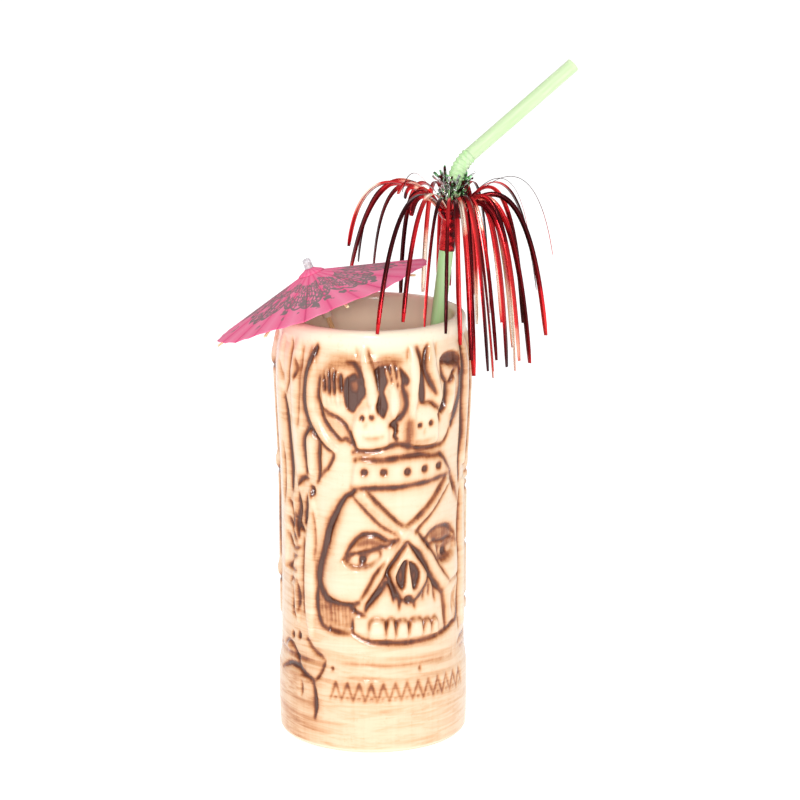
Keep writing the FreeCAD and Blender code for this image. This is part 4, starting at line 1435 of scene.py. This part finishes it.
@dataclass
class Mug:
    """The carved and glazed mug."""

    first: float = -112.0
    fine: float = 0.70
    coarse: float = 1.25
    front: float = 164.0
    row: float = 0.75
    profile: tuple[Pair, ...] = (
        (2.4, 36.5), (14.0, 36.9), (28.0, 36.9), (34.0, 35.8), (60.0, 35.6),
        (96.0, 35.7), (112.0, 36.2), (128.0, 37.0), (140.0, 37.5), (150.0, 37.5),
        (156.0, 36.9), (160.0, 36.1), (163.0, 36.3), (165.6, 36.2),
    )
    finish: StainedGlaze = field(default_factory=lambda: StainedGlaze("cream glaze over brown stain"))

    def build(self) -> Object:
        """Builds the mug.

        Returns:
            The mug's one piece.
        """
        front = np.arange(self.first, self.first + self.front, self.fine)
        rest = np.arange(self.first + self.front, self.first + 360.0 - self.coarse * 0.5, self.coarse)
        azimuth = np.concatenate([front, rest])
        wall = np.arange(2.4, 165.5, self.row)
        carving = Carving(azimuth, wall)
        carving.carve()
        return self.skin(carving)

    def skin(self, carving: Carving) -> Object:
        """Turns the carved wall, lip, lining and foot into one closed skin.

        Args:
            carving: The wall's carving.

        Returns:
            The mug.
        """
        azimuth, wall = carving.azimuth, carving.height
        heights, radii = zip(*self.profile)
        side = np.interp(wall, heights, radii)
        foot = [(28.0, 0.35), (29.2, 0.0), (33.4, 0.0), (34.8, 0.35), (35.9, 1.3)]
        turned = np.linspace(0.0, math.pi, 9)
        lip = [(33.75 + 2.45 * math.cos(a), 165.6 + 2.4 * math.sin(a)) for a in turned]
        lining = [
            (31.2, 158), (31.1, 150), (31.0, 128), (30.9, 104), (30.8, 80), (30.7, 56),
            (30.5, 32), (30.4, 13), (29.8, 10), (28.4, 8.2), (24.4, 6.1), (14, 6.0),
        ]
        rows = [(radius, height, 0.0) for radius, height in foot]
        rows += [(radius, height, -1.0) for radius, height in zip(side, wall)]
        rows += [(radius, height, 0.0) for radius, height in lip]
        rows += [(radius, height, 1.0) for radius, height in lining]
        table = np.array(rows)
        count = len(azimuth)
        shape = (len(table), count)
        radius = np.broadcast_to(table[:, :1], shape).copy()
        start = len(foot)
        radius[start : start + len(wall)] += carving.rise
        angle = np.radians(azimuth)
        points = np.empty((*shape, 3))
        points[..., 0] = radius * np.sin(angle)
        points[..., 1] = -radius * np.cos(angle)
        points[..., 2] = table[:, 1][:, None]
        values = {name: np.zeros(shape) for name in ("stain", "wash", "inside", "bare")}
        values["stain"][start : start + len(wall)] = carving.stain
        values["wash"][start : start + len(wall)] = carving.wash
        inside = smooth(-0.2, 1.0, table[:, 2]) * (table[:, 2] > 0.5)
        values["inside"] = np.broadcast_to(inside[:, None], shape)
        bare = (table[:, 1] < 0.5) * (table[:, 0] < 35.0) * 1.0
        values["bare"] = np.broadcast_to(bare[:, None], shape)
        flat = points.reshape(-1, 3)
        ends = np.array([[0.0, 0.0, 0.35], [0.0, 0.0, 6.0]])
        faces = grid_faces(len(table), count, True)
        bottom, top, last = len(flat), len(flat) + 1, (len(table) - 1) * count
        for column in range(count):
            beside = (column + 1) % count
            faces.append((bottom, beside, column))
            faces.append((top, last + column, last + beside))
        made = piece("carved_mug", np.vstack([flat, ends]), faces, self.finish.material(), "glaze")
        for name, layer in values.items():
            tail = {"inside": (0.0, 1.0), "bare": (1.0, 0.0)}.get(name, (0.0, 0.0))
            mark(made, name, np.concatenate([layer.reshape(-1), tail]))
        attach(made, "mug")
        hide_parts("mug_body")
        return made


# ---------------------------------------------------------------- the straw and its foil spray


@dataclass
class Straw:
    """The bendy straw that leans in the mug."""

    foot: Triple = (7.0, -2.0, 6.8)
    lean: float = 7.4
    bend: float = 47.0
    elbow: float = 217.0
    tangent: float = 7.0
    radius: float = 2.8
    crest: float = 0.42
    rings: int = 8
    sides: int = 40

    def direction(self, upper: bool = False) -> np.ndarray:
        """Which way the straw runs.

        Args:
            upper: Whether above the bend.

        Returns:
            The unit direction.
        """
        angle = math.radians(self.lean + (self.bend if upper else 0.0))
        return np.array([math.sin(angle), 0.0, math.cos(angle)])

    def along(self, length: float) -> np.ndarray:
        """The place at a length up the lower tube, in millimetres."""
        return np.array(self.foot) + self.direction() * length

    def build(self) -> None:
        """Dresses the two tubes and builds the bellows between them."""
        # The two tubes are one plastic drawn in two tints: the upper tube's paler, whiter green is painted
        # light.
        for node, upper, tint, deep in (
            ("straw_lower_tube", False, srgb(222, 255, 200), srgb(204, 255, 180)),
            ("straw_upper_tube", True, srgb(238, 255, 214), srgb(222, 255, 196)),
        ):
            axis = tuple(self.direction(upper))
            finish = StrawPlastic(f"green plastic {node}", tint=tint, deep=deep, axis=axis)
            dress(node, finish.material())
        self.bellows()

    def bellows(self) -> Object:
        """Builds the corrugated bend.

        Returns:
            The bellows.
        """
        turn = math.radians(self.bend)
        bow = self.tangent / math.tan(turn / 2)
        start = self.along(self.elbow - self.tangent)
        lower = self.direction()
        inward = np.array([lower[2], 0.0, -lower[0]])
        centre = start + inward * bow
        steps = self.rings * 8 + 1
        angles = np.linspace(0.0, turn, steps)
        path = np.array([centre - inward * bow * math.cos(a) + lower * bow * math.sin(a) for a in angles])
        share = np.linspace(0.0, 1.0, steps)
        wave = 0.5 - 0.5 * np.cos(2 * math.pi * self.rings * share)
        outer = self.radius + 0.02 + self.crest * wave**1.4
        outer[0] = outer[-1] = self.radius
        whole = np.vstack([path, path[::-1]])
        sizes = np.concatenate([outer, (outer - 0.22)[::-1]])
        circle = np.arange(self.sides) * 2 * math.pi / self.sides
        first, second = (np.vstack([way, way[::-1]]) for way in frames_along(path, (0.0, 1.0, 0.0)))
        rings = [ring(whole[i], sizes[i], circle, first[i], second[i]) for i in range(len(whole))]
        faces = ring_faces(len(whole), self.sides)
        finish = StrawPlastic("green plastic bellows", axis=tuple(lower), through=0.3)
        made = piece("straw_bellows_skin", np.vstack(rings), faces, finish.material(), "straw_plastic")
        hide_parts("straw_bellows")
        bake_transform(made)
        return made


def dress(node: str, material: Material) -> None:
    """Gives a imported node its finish.

    Args:
        node: The node's name.
        material: Its finish.
    """
    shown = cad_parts[node]
    if not shown.material_slots:
        shown.data.materials.append(material)
    for slot in shown.material_slots:
        slot.material = material
    LOG.info("%s: packed node dressed", node)


@dataclass(frozen=True)
class Ribbon:
    """One ribbon of the spray: where it points, how far it reaches, how high it springs and where it ends."""

    bearing: float
    reach: float
    rise: float
    end: float
    width: float = 1.3
    twist: float = 1.6
    start_turn: float = 0.0
    # tone: the ribbon's painted reflection, how dark or bright its foil is drawn.
    tone: float = 0.3
    swing: float = 4.0
    belly: float = 0.8


@dataclass
class FoilSpray:
    """The sleeve, binding, tuft and ribbons of metal foil on the straw."""

    straw: Straw
    sleeve: Pair = (184.2, 197.2)
    binding: Pair = (196.6, 203.6)
    tuft: Pair = (202.6, 217.0)
    root: float = 200.2
    thickness: float = 0.1
    snug: float = 0.08
    golden: float = 2.39996
    sections: int = 34
    seed: int = 11
    layout: dict[Bunch, tuple[tuple[float, float, float, float], ...]] = field(
        default_factory=lambda: {
            Bunch.RIGHT: (
                (-25, 37, 6, -50), (-7, 30, 8, -44), (11, 36, 7, -50), (300, 30, 4, -60),
                (317, 28, 6, -58), (-16, 25, 5, -56), (3, 39, 9, -36), (-33, 31, 5, -60),
                (326, 22, 4, -62), (-2, 22, 5, -47),
            ),
            Bunch.BACK: (
                (29, 27, 9, -46), (47, 30, 8, -40), (65, 27, 7, -36), (83, 35, 8, -40),
                (38, 22, 8, -50), (56, 24, 8, -44), (74, 29, 8, -34),
            ),
            Bunch.LEFT: (
                (101, 52, 6, -36), (105, 57, 6, -30), (109, 57, 8, -34), (94, 40, 7, -42),
                (113, 54, 7, -22), (117, 26, 9, 3), (136, 19, 8, 3), (155, 17, 7, 1),
                (173, 18, 7, 1), (191, 20, 7, 0), (146, 15, 8, 3),
            ),
            Bunch.FRONT: (
                (215, 57, 10, -38), (232, 47, 8, -36), (249, 42, 7, -44), (266, 37, 8, -56),
                (283, 26, 6, -62), (223, 50, 10, -34), (241, 40, 8, -40), (257, 34, 7, -52),
                (275, 31, 7, -58), (291, 24, 6, -56), (262, 27, 6, -60),
            ),
        }
    )
    belly: dict[Bunch, float] = field(
        default_factory=lambda: {Bunch.RIGHT: 0.82, Bunch.BACK: 0.85, Bunch.LEFT: 0.80, Bunch.FRONT: 0.62}
    )
    curls: tuple[tuple[Bunch, tuple[float, float, float, float]], ...] = (
        (Bunch.RIGHT, (-12, 41, 12, -20)),
        (Bunch.RIGHT, (8, 37, 10, -14)),
        (Bunch.LEFT, (128, 21, 13, 5)),
    )
    red: Foil = field(
        default_factory=lambda: Foil("red foil ribbon", crush=140.0, depth=0.00005, mottle_and_sheen=0.05)
    )
    red_wrap: Foil = field(default_factory=lambda: Foil("red foil wrap", crush=420.0))
    silver: Foil = field(
        default_factory=lambda: Foil(
            "silver and green foil shreds",
            roughness=0.18,
            crush=700.0,
            # The stops mix the shreds' own silver, green and red with painted reflection: the near-black and
            # near-white ends stand for mirrored dark and bright surroundings.
            stops=(
                (0.0, srgb(26, 16, 16)), (0.22, srgb(96, 20, 22)), (0.38, srgb(38, 74, 50)),
                (0.52, srgb(120, 190, 120)), (0.70, srgb(200, 206, 204)), (1.0, srgb(252, 252, 250)),
            ),
        )
    )

    def build(self) -> None:
        """Builds the whole spray."""
        self.draws = np.random.default_rng(self.seed)
        self.build_sleeve()
        self.build_binding()
        self.build_tuft()
        material = self.red.material()
        for bunch, rows in self.layout.items():
            self.build_bunch(bunch, rows, material)

    @staticmethod
    def finish_piece(made: Object, tones: np.ndarray, node: str) -> None:
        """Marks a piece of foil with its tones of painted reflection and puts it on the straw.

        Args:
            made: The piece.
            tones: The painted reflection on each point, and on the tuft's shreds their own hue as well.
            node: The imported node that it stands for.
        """
        mark(made, "tone", tones)
        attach(made, "straw")
        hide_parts(node)

    def wrap(
        self, low: float, high: float, size: Callable[[float, np.ndarray], np.ndarray], rows: int
    ) -> Skin:
        """A thick skin wrapped round the straw.

        Args:
            low: Where it starts, in millimetres up the straw.
            high: Where it ends.
            size: Its radius, from the share of the way up and the angles round.
            rows: How many rings it has.

        Returns:
            The skin's points and faces.
        """
        sides = 56
        angles = np.arange(sides) * 2 * math.pi / sides
        path = np.array([self.straw.along(low + (high - low) * share) for share in np.linspace(0, 1, rows)])
        first, second = frames_along(path, (0.0, 1.0, 0.0))
        sizes = [size(index / (rows - 1), angles) for index in range(rows)]
        sizes += [self.straw.radius + self.snug] * rows
        order = [*range(rows), *reversed(range(rows))]
        rings = [ring(path[n], radius, angles, first[n], second[n]) for n, radius in zip(order, sizes)]
        return np.vstack(rings), ring_faces(2 * rows, sides)

    def build_sleeve(self) -> None:
        """The red foil wrapped round the straw under the ribbons."""
        folds = self.draws.uniform(0, 2 * math.pi, 5)

        def size(share: float, angles: np.ndarray) -> np.ndarray:
            """The wrapped foil's radius: a lapped edge and slack folds."""
            lap = 0.16 * (np.mod(angles / (2 * math.pi) + 0.35 * share, 1.0))
            slack = 0.07 * np.sin(5 * angles + folds[0] + 9 * share)
            slack = slack + 0.05 * np.sin(11 * angles + folds[1] - 21 * share)
            pinch = 0.10 * math.sin(math.pi * share * 7 + folds[2])
            return 3.08 + lap + slack * (0.5 + pinch)

        points, faces = self.wrap(*self.sleeve, size, 40)
        made = piece("foil_sleeve_wrap", points, faces, self.red_wrap.material(), "foil_red")
        # Painted reflection: bands of darker and brighter foil run round the wrap.
        angle = np.arctan2(points[:, 1] + 2.0, points[:, 0] - 32.0)
        tones = 0.30 + 0.30 * np.sin(angle * 2.0 + 0.6) + 0.14 * np.sin(points[:, 2] * 1.7 + angle)
        self.finish_piece(made, tones, "foil_sleeve")

    def build_binding(self) -> None:
        """The gathered roots of the ribbons, wound tight round the straw."""

        def size(share: float, angles: np.ndarray) -> np.ndarray:
            """The gathered barrel: narrow at both ends, pleated by the ribbons' roots."""
            barrel = 3.15 + 2.0 * math.sin(math.pi * min(1.0, share * 0.97 + 0.03)) ** 0.8
            pleat = 0.28 * np.abs(np.sin(angles * 9.0 + share * 3.0)) * math.sin(math.pi * share)
            return barrel + pleat

        points, faces = self.wrap(*self.binding, size, 22)
        made = piece("foil_binding_wrap", points, faces, self.red_wrap.material(), "foil_red")
        # Painted reflection: darker and brighter bands follow the pleats round the binding.
        angle = np.arctan2(points[:, 1] + 2.0, points[:, 0] - 32.8)
        tones = 0.28 + 0.34 * np.sin(angle * 9.0 + points[:, 2] * 0.6) + 0.12 * np.sin(points[:, 2] * 3.0)
        self.finish_piece(made, tones, "foil_binding")

    def build_tuft(self) -> None:
        """Short crinkled shreds of silver, green and dark foil above the binding."""
        parts, tones = [], []
        axis = self.straw.direction()
        across = np.array([axis[2], 0.0, -axis[0]])
        away = np.array([0.0, 1.0, 0.0])
        for number in range(84):
            bearing = number * self.golden
            low = self.draws.uniform(self.tuft[0], self.tuft[1] - 5.5)
            length = self.draws.uniform(3.6, 7.0)
            spread = self.draws.uniform(0.15, 0.95)
            out = across * math.cos(bearing) + away * math.sin(bearing)
            start = self.straw.along(low) + out * (self.straw.radius + 0.45)
            share = np.linspace(0.0, 1.0, 9)
            bow = self.draws.uniform(-0.6, 1.2)
            crimp = self.draws.uniform(0.12, 0.3) * np.sin(share * self.draws.uniform(9, 17) + number)
            path = (
                start
                + out * (length * spread * share + bow * share * (1 - share))[:, None]
                + axis * (length * math.sqrt(max(0.1, 1.15 - spread**2)) * share + crimp)[:, None]
                + np.cross(axis, out) * (0.5 * crimp)[:, None]
            )
            width = self.draws.uniform(0.7, 1.5)
            turn, twist = self.draws.uniform(0, math.pi), self.draws.uniform(-2.5, 2.5)
            points, faces = self.strip(path, width, turn, twist, np.cross(axis, out))
            parts.append((points, faces))
            # Each shred's place on that ramp: partly its own hue, partly painted reflection.
            shade = self.draws.uniform(0.0, 1.0)
            tones.append(np.repeat(shade + 0.25 * np.sin(share * 8 + number), 4))
        points, faces = join(parts)
        made = piece("foil_tuft_shreds", points, faces, self.silver.material(), "foil_silver", rounded=False)
        self.finish_piece(made, np.concatenate(tones), "foil_tuft")

    @staticmethod
    def facing(bearing: float) -> float:
        """The turn that shows a ribbon's flat to someone in front of the carved face.

        Args:
            bearing: The ribbon's bearing in degrees.

        Returns:
            The turn in radians.
        """
        angle = math.radians(bearing + 25.0)
        return math.atan2(math.cos(angle), -math.sin(angle))

    def strip(
        self, path: np.ndarray, width: float, turn: float, twist: float, side: Sequence[float]
    ) -> Skin:
        """A flat strip that turns about its own line.

        Args:
            path: The line.
            width: The strip's width.
            turn: The angle that it starts at.
            twist: How far it turns from end to end.
            side: The direction across it where it starts.

        Returns:
            The strip's points and faces.
        """
        half, thin = width / 2, self.thickness / 2
        corners = np.array([[half, thin], [-half, thin], [-half, -thin], [half, -thin]])
        first, second = frames_along(path, side)
        steps = len(path) - 1
        rings = []
        for index, centre in enumerate(path):
            share = index / steps
            angle = turn + twist * share
            tip = 1.0 - 0.3 * max(0.0, (share - 0.96) / 0.04)
            spin = np.array([[math.cos(angle), math.sin(angle)], [-math.sin(angle), math.cos(angle)]])
            offsets = (corners * [tip, 1.0]) @ spin
            rings.append(centre + offsets[:, :1] * first[index] + offsets[:, 1:] * second[index])
        last = 4 * steps
        faces = grid_faces(len(path), 4, True) + [(3, 2, 1, 0), (last, last + 1, last + 2, last + 3)]
        return np.vstack(rings), faces

    def ribbon_path(self, ribbon: Ribbon) -> np.ndarray:
        """The line that a ribbon falls along.

        Args:
            ribbon: The ribbon.

        Returns:
            The line's points.
        """
        lift = ribbon.rise + math.sqrt(max(0.0, ribbon.rise**2 - ribbon.rise * ribbon.end))
        share = np.linspace(0.0, 1.0, self.sections)
        out = 4.6 * (1 - share) ** 2 + 2 * ribbon.belly * ribbon.reach * share * (1 - share)
        out = out + ribbon.reach * share**2
        up = 2 * lift * share * (1 - share) + ribbon.end * share**2
        angle = math.radians(ribbon.bearing)
        run = np.array([math.cos(angle), math.sin(angle), 0.0])
        beside = np.array([-math.sin(angle), math.cos(angle), 0.0])
        root = self.straw.along(self.root)
        drift = ribbon.swing * share**2 * np.sin(share * 2.6 + ribbon.start_turn) * 0.35
        path = root + run * out[:, None] + beside * drift[:, None]
        path[:, 2] += up
        return path

    def build_bunch(self, bunch: Bunch, rows: Sequence[Sequence[float]], material: Material) -> None:
        """Builds the ribbons of one side.

        Args:
            bunch: The side.
            rows: Its ribbons' bearings, reaches, rises and ends.
            material: Their foil.
        """
        parts, tones = [], []
        ribbons = [
            Ribbon(
                *row,
                width=self.draws.uniform(1.4, 2.3),
                twist=self.draws.uniform(-1.3, 1.3),
                start_turn=self.facing(row[0]) + self.draws.uniform(-0.7, 0.7),
                tone=self.draws.uniform(0.12, 0.62),
                swing=self.draws.uniform(-3.0, 3.0),
                belly=self.belly[bunch] + self.draws.uniform(-0.12, 0.12),
            )
            for row in rows
        ]
        ribbons += [
            Ribbon(*row, width=0.32, twist=1.0, tone=0.2, swing=2.0)
            for side, row in self.curls
            if side is bunch
        ]
        for ribbon in ribbons:
            path = self.ribbon_path(ribbon)
            angle = math.radians(ribbon.bearing)
            beside = (-math.sin(angle), math.cos(angle), 0.0)
            parts.append(self.strip(path, ribbon.width, ribbon.start_turn, ribbon.twist, beside))
            share = np.linspace(0.0, 1.0, self.sections)
            # Painted reflection: each ribbon's tone, with slow swells of painted glint along it.
            phase = self.draws.uniform(0, 2 * math.pi)
            glint = 0.40 * np.sin(share * self.draws.uniform(3.5, 8.0) + phase)
            glint = glint + 0.08 * np.sin(share * 19 + phase)
            tones.append(np.repeat(ribbon.tone + glint, 4))
        points, faces = join(parts)
        made = piece(f"foil_ribbons_{bunch.value}", points, faces, material, "foil_red")
        self.finish_piece(made, np.concatenate(tones), f"foil_strands_{bunch.value}")


# ---------------------------------------------------------------- the parasol


@dataclass
class Parasol:
    """The folding paper parasol that leans on the lip."""

    crown: Triple = (-17.9, 17.2, 180.6)
    bearing: float = 140.0
    tilt: float = 21.5
    ribs: int = 8
    offset: float = 30.0
    open_angle: float = 74.0
    hinge: float = 2.9
    inner: float = 4.12
    slant: float = 42.4
    lift: float = 1.0
    thickness: float = 0.16
    keep: float = 0.42
    rows: int = 30
    columns: int = 37
    paper: PrintedPaper = field(default_factory=lambda: PrintedPaper("printed pink tissue"))

    def __post_init__(self) -> None:
        """Works out the parasol's own axes."""
        swing = Matrix.Rotation(math.radians(self.bearing), 3, "Z")
        self.axes = np.array(swing @ Matrix.Rotation(math.radians(self.tilt), 3, "Y"))

    def spot(self, local: np.ndarray) -> np.ndarray:
        """Places points of the parasol's own frame in the row frame."""
        return np.array(self.crown) + local @ self.axes.T

    def build(self) -> None:
        """Builds the paper and dresses the sticks."""
        material = self.paper.material()
        for number in range(1, self.ribs + 1):
            self.sector(number, material)
        self.collar(material)
        self.sticks()

    def sector(self, number: int, material: Material) -> None:
        """The paper that is glued to one rib, out to the creases half way to its neighbours.

        Args:
            number: The rib's number.
            material: The paper.
        """
        bearing = math.radians(self.offset + 360.0 / self.ribs * (number - 1))
        half = math.pi / self.ribs
        slope = math.radians(self.open_angle)
        outer = self.hinge + self.slant * math.sin(slope)
        share = np.linspace(0.0, 1.0, self.rows)[:, None]
        side = np.linspace(-1.0, 1.0, self.columns)[None, :]
        angle = bearing + half * side
        pinked = 0.42 * np.abs(np.sin((number - 0.5 + 0.5 * side) * math.pi * 4.0)) * smooth(0.8, 1.0, share)
        radius = self.inner + (outer - self.inner) * share - pinked
        reach = (radius - self.hinge) / (outer - self.hinge)
        pleat = np.abs(np.mod(side * 3.0, 2.0) - 1.0)
        beside = smooth(0.22, 0.6, np.abs(side))
        sag = -0.55 * reach * (1.0 - np.cos(math.pi * side)) / 2 - 0.26 * reach * (1.0 - pleat) * beside
        height = -(radius - self.hinge) / math.tan(slope) + self.lift / math.sin(slope) + sag
        top = np.stack([radius * np.cos(angle), radius * np.sin(angle), height], axis=-1).reshape(-1, 3)
        under = top - [0.0, 0.0, self.thickness]
        count = len(top)
        up = grid_faces(self.rows, self.columns, False)
        faces = list(up) + [tuple(n + count for n in reversed(face)) for face in up]
        rim = list(range(self.columns))
        rim += [row * self.columns + self.columns - 1 for row in range(1, self.rows)]
        rim += [(self.rows - 1) * self.columns + column for column in range(self.columns - 2, -1, -1)]
        rim += [row * self.columns for row in range(self.rows - 2, 0, -1)]
        for here, there in zip(rim, rim[1:] + rim[:1]):
            faces.append((there, here, here + count, there + count))
        points = self.spot(np.vstack([top, under]))
        made = piece(f"canopy_paper_{number}", points, faces, material, "canopy_paper")
        flat = np.broadcast_to(radius / outer, (self.rows, self.columns)).reshape(-1)
        mark(made, "reach", np.tile(flat, 2))
        turned = np.broadcast_to(number + 0.5 * side, (self.rows, self.columns)).reshape(-1)
        mark(made, "turn", np.tile(turned, 2))
        # The pleat mark shapes the paper's painted highlight on the ridges and painted shade in the valleys.
        mark(made, "pleat", np.tile(np.broadcast_to(pleat, (self.rows, self.columns)).reshape(-1), 2))
        mark(made, "face", np.repeat([Paper.PRINTED.value, Paper.PLAIN.value], count))
        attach(made, f"rib_{number}")
        anchor = self.spot(np.array([math.cos(bearing) * self.hinge, math.sin(bearing) * self.hinge, 0.0]))
        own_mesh(made)
        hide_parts("parasol_canopy")

    def collar(self, material: Material) -> None:
        """The small paper cone glued over the crown.

        Args:
            material: The paper.
        """
        sides, rings = 48, []
        angles = np.arange(sides) * 2 * math.pi / sides
        rows = (
            (5.3, 0.52), (4.3, 1.26), (3.5, 1.62), (2.6, 2.05), (1.55, 2.75),
            (1.42, 2.6), (2.6, 1.88), (3.5, 1.45), (4.15, 1.2), (5.2, 0.40),
        )
        for radius, height in rows:
            wave = 0.05 * radius / 4.0 * np.sin(angles * 16)
            rings.append(np.stack([radius * np.cos(angles), radius * np.sin(angles), height + wave], axis=-1))
        faces = ring_faces(len(rows), sides)
        made = piece("canopy_collar", self.spot(np.vstack(rings)), faces, material, "canopy_paper")
        size = len(rows) * sides
        for name, value in (("reach", 0.06), ("turn", 0.0), ("face", Paper.PLAIN.value)):
            mark(made, name, np.full(size, value))
        # Here too the pleat mark sets painted highlight and painted shade on the collar's pleats.
        mark(made, "pleat", np.tile(0.5 + 0.5 * np.sin(angles * 16), len(rows)))
        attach(made, "parasol")
        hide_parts("parasol_canopy")

    def sticks(self) -> None:
        """Gives the stick, crown, runner, ribs and struts their wood, paper, thread and plastic."""
        shaft = tuple(self.axes[:, 2])
        wood = PaleWood("pale wood of the stick", axis=shaft).material()
        dress("parasol_stick", wood)
        dress("parasol_crown", PaleWood("pale wood of the crown", axis=shaft).material())
        dress("parasol_runner", PaleWood("pale wood of the runner", axis=shaft).material())
        for node, finish in (
            ("stop_sleeve", Plain("rolled paper tube", roughness=0.8, colour=srgb(226, 214, 190),
                                  shade=srgb(196, 180, 150), scale=1300.0)),
            ("tip_sleeve", Plain("clear tip sleeve", roughness=0.25, colour=srgb(246, 246, 250),
                                 shade=srgb(228, 228, 236), through=0.5)),
            ("thread", Plain("white cotton thread", roughness=0.85, colour=srgb(244, 240, 230),
                             shade=srgb(206, 200, 186), scale=3000.0)),
        ):
            dress(f"parasol_{node}", finish.material())
        pins = PaleWood("pin wood", light=srgb(220, 186, 136), dark=srgb(170, 126, 78), axis=shaft).material()
        slope = math.radians(self.open_angle)
        for number in range(1, self.ribs + 1):
            bearing = math.radians(self.offset + 360.0 / self.ribs * (number - 1))
            flat = math.sin(slope)
            local = np.array([math.cos(bearing) * flat, math.sin(bearing) * flat, -math.cos(slope)])
            along = tuple(self.axes @ local)
            rib = PaleWood(f"split wood of rib {number}", light=srgb(246, 224, 184), axis=along)
            dress(f"parasol_rib_{number}", rib.material())
            dress(f"parasol_strut_{number}", PaleWood(f"split wood of strut {number}", axis=along).material())
            dress(f"parasol_pin_{number}", pins)


# ---------------------------------------------------------------- the studio


@dataclass
class Studio:
    """The pale floor, the soft lights and the camera."""

    camera_at: Triple = (-0.6060, -1.2997, 0.494)
    heading: float = -25.423
    pitch: float = 14.15
    lens: float = 171.45
    sensor: float = 36.0
    sky: float = 0.58
    overhead: float = 0.28
    edge: float = 3000.0
    lights: tuple[tuple[str, Triple, float, float], ...] = (
        ("key", (-0.95, -0.75, 0.95), 0.5, 1.6),
        ("fill", (0.62, -1.00, 0.55), 0.6, 0.8),
        ("rim", (0.35, 0.95, 0.95), 0.8, 1.6),
        ("front", (-0.62, -1.20, 0.50), 0.30, 8.2),
    )

    def build(self) -> None:
        """Builds the studio."""
        self.place_camera()
        self.place_floor()
        self.place_lights()

    def place_camera(self) -> None:
        """Sets the camera at the viewing angle."""
        turn, dip = math.radians(self.heading), math.radians(self.pitch)
        back = Vector((math.sin(turn) * math.cos(dip), -math.cos(turn) * math.cos(dip), math.sin(dip)))
        right = Vector((math.cos(turn), math.sin(turn), 0.0))
        up = back.cross(right)
        data = bpy.data.cameras.new("camera")
        data.lens, data.sensor_width = self.lens, self.sensor
        data.clip_start, data.clip_end = 0.05, 20.0
        camera = bpy.data.objects.new("camera", data)
        axes = Matrix((right, up, back)).transposed().to_4x4()
        camera.matrix_world = Matrix.Translation(self.camera_at) @ axes
        bpy.context.scene.collection.objects.link(camera)
        bpy.context.scene.camera = camera

    def place_floor(self) -> None:
        """Lays a plain white floor."""
        pale, shade = srgb(252, 252, 252), srgb(250, 250, 250)
        white = Plain("white floor", roughness=0.75, colour=pale, shade=shade, depth=0.00001).material()
        corners = np.array([[-1, -1], [1, -1], [1, 1], [-1, 1]]) * self.edge
        corners = np.column_stack([corners, np.full(4, -0.2)])
        shader = next(node for node in white.node_tree.nodes if node.type == "BSDF_PRINCIPLED")
        shader.inputs["Emission Color"].default_value = (1.0, 1.0, 1.0, 1.0)
        shader.inputs["Emission Strength"].default_value = 0.43
        floor = piece("floor", corners, [(0, 1, 2, 3)], white, "glaze")
        del floor["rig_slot"]

    def place_lights(self) -> None:
        """Hangs large soft lights in a white room."""
        world = bpy.data.worlds.new("white room")
        world.use_nodes = True
        back = world.node_tree.nodes["Background"]
        back.inputs["Color"].default_value = (1.0, 1.0, 1.0, 1.0)
        wiring = Wiring(world.node_tree)
        seen = wiring.add("ShaderNodeLightPath").outputs["Is Camera Ray"]
        wiring.put(back.inputs["Strength"], wiring.sum("MULTIPLY_ADD", seen, 1.06 - self.sky, self.sky))
        bpy.context.scene.world = world
        bpy.context.scene.view_settings.view_transform = "Standard"
        sun = bpy.data.lights.new("overhead", "SUN")
        sun.energy, sun.angle = self.overhead, math.radians(50.0)
        self.hang(sun, Vector((-0.25, -0.8, 0.85)), (0.0, 0.0, 0.0))
        target = Vector((0.0, 0.0, 0.11))
        for name, place, size, power in self.lights:
            data = bpy.data.lights.new(name, "AREA")
            data.shape, data.size, data.energy = "DISK", size, power
            self.hang(data, Vector(place) - target, place)

    @staticmethod
    def hang(data: bpy.types.Light, away: Vector, place: Triple) -> None:
        """Hangs a lamp.

        Args:
            data: The lamp.
            away: The direction from what it lights to the lamp.
            place: Where it hangs.
        """
        lamp = bpy.data.objects.new(data.name, data)
        lamp.matrix_world = Matrix.Translation(place) @ away.to_track_quat("Z", "Y").to_matrix().to_4x4()
        bpy.context.scene.collection.objects.link(lamp)


def main() -> None:
    """Builds the mug, its straw and its parasol in order."""
    logging.basicConfig(level=logging.INFO, format="%(name)s %(message)s")
    Studio().build()
    Mug().build()
    straw = Straw()
    straw.build()
    FoilSpray(straw).build()
    Parasol().build()


if __name__ == "__main__":
    main()
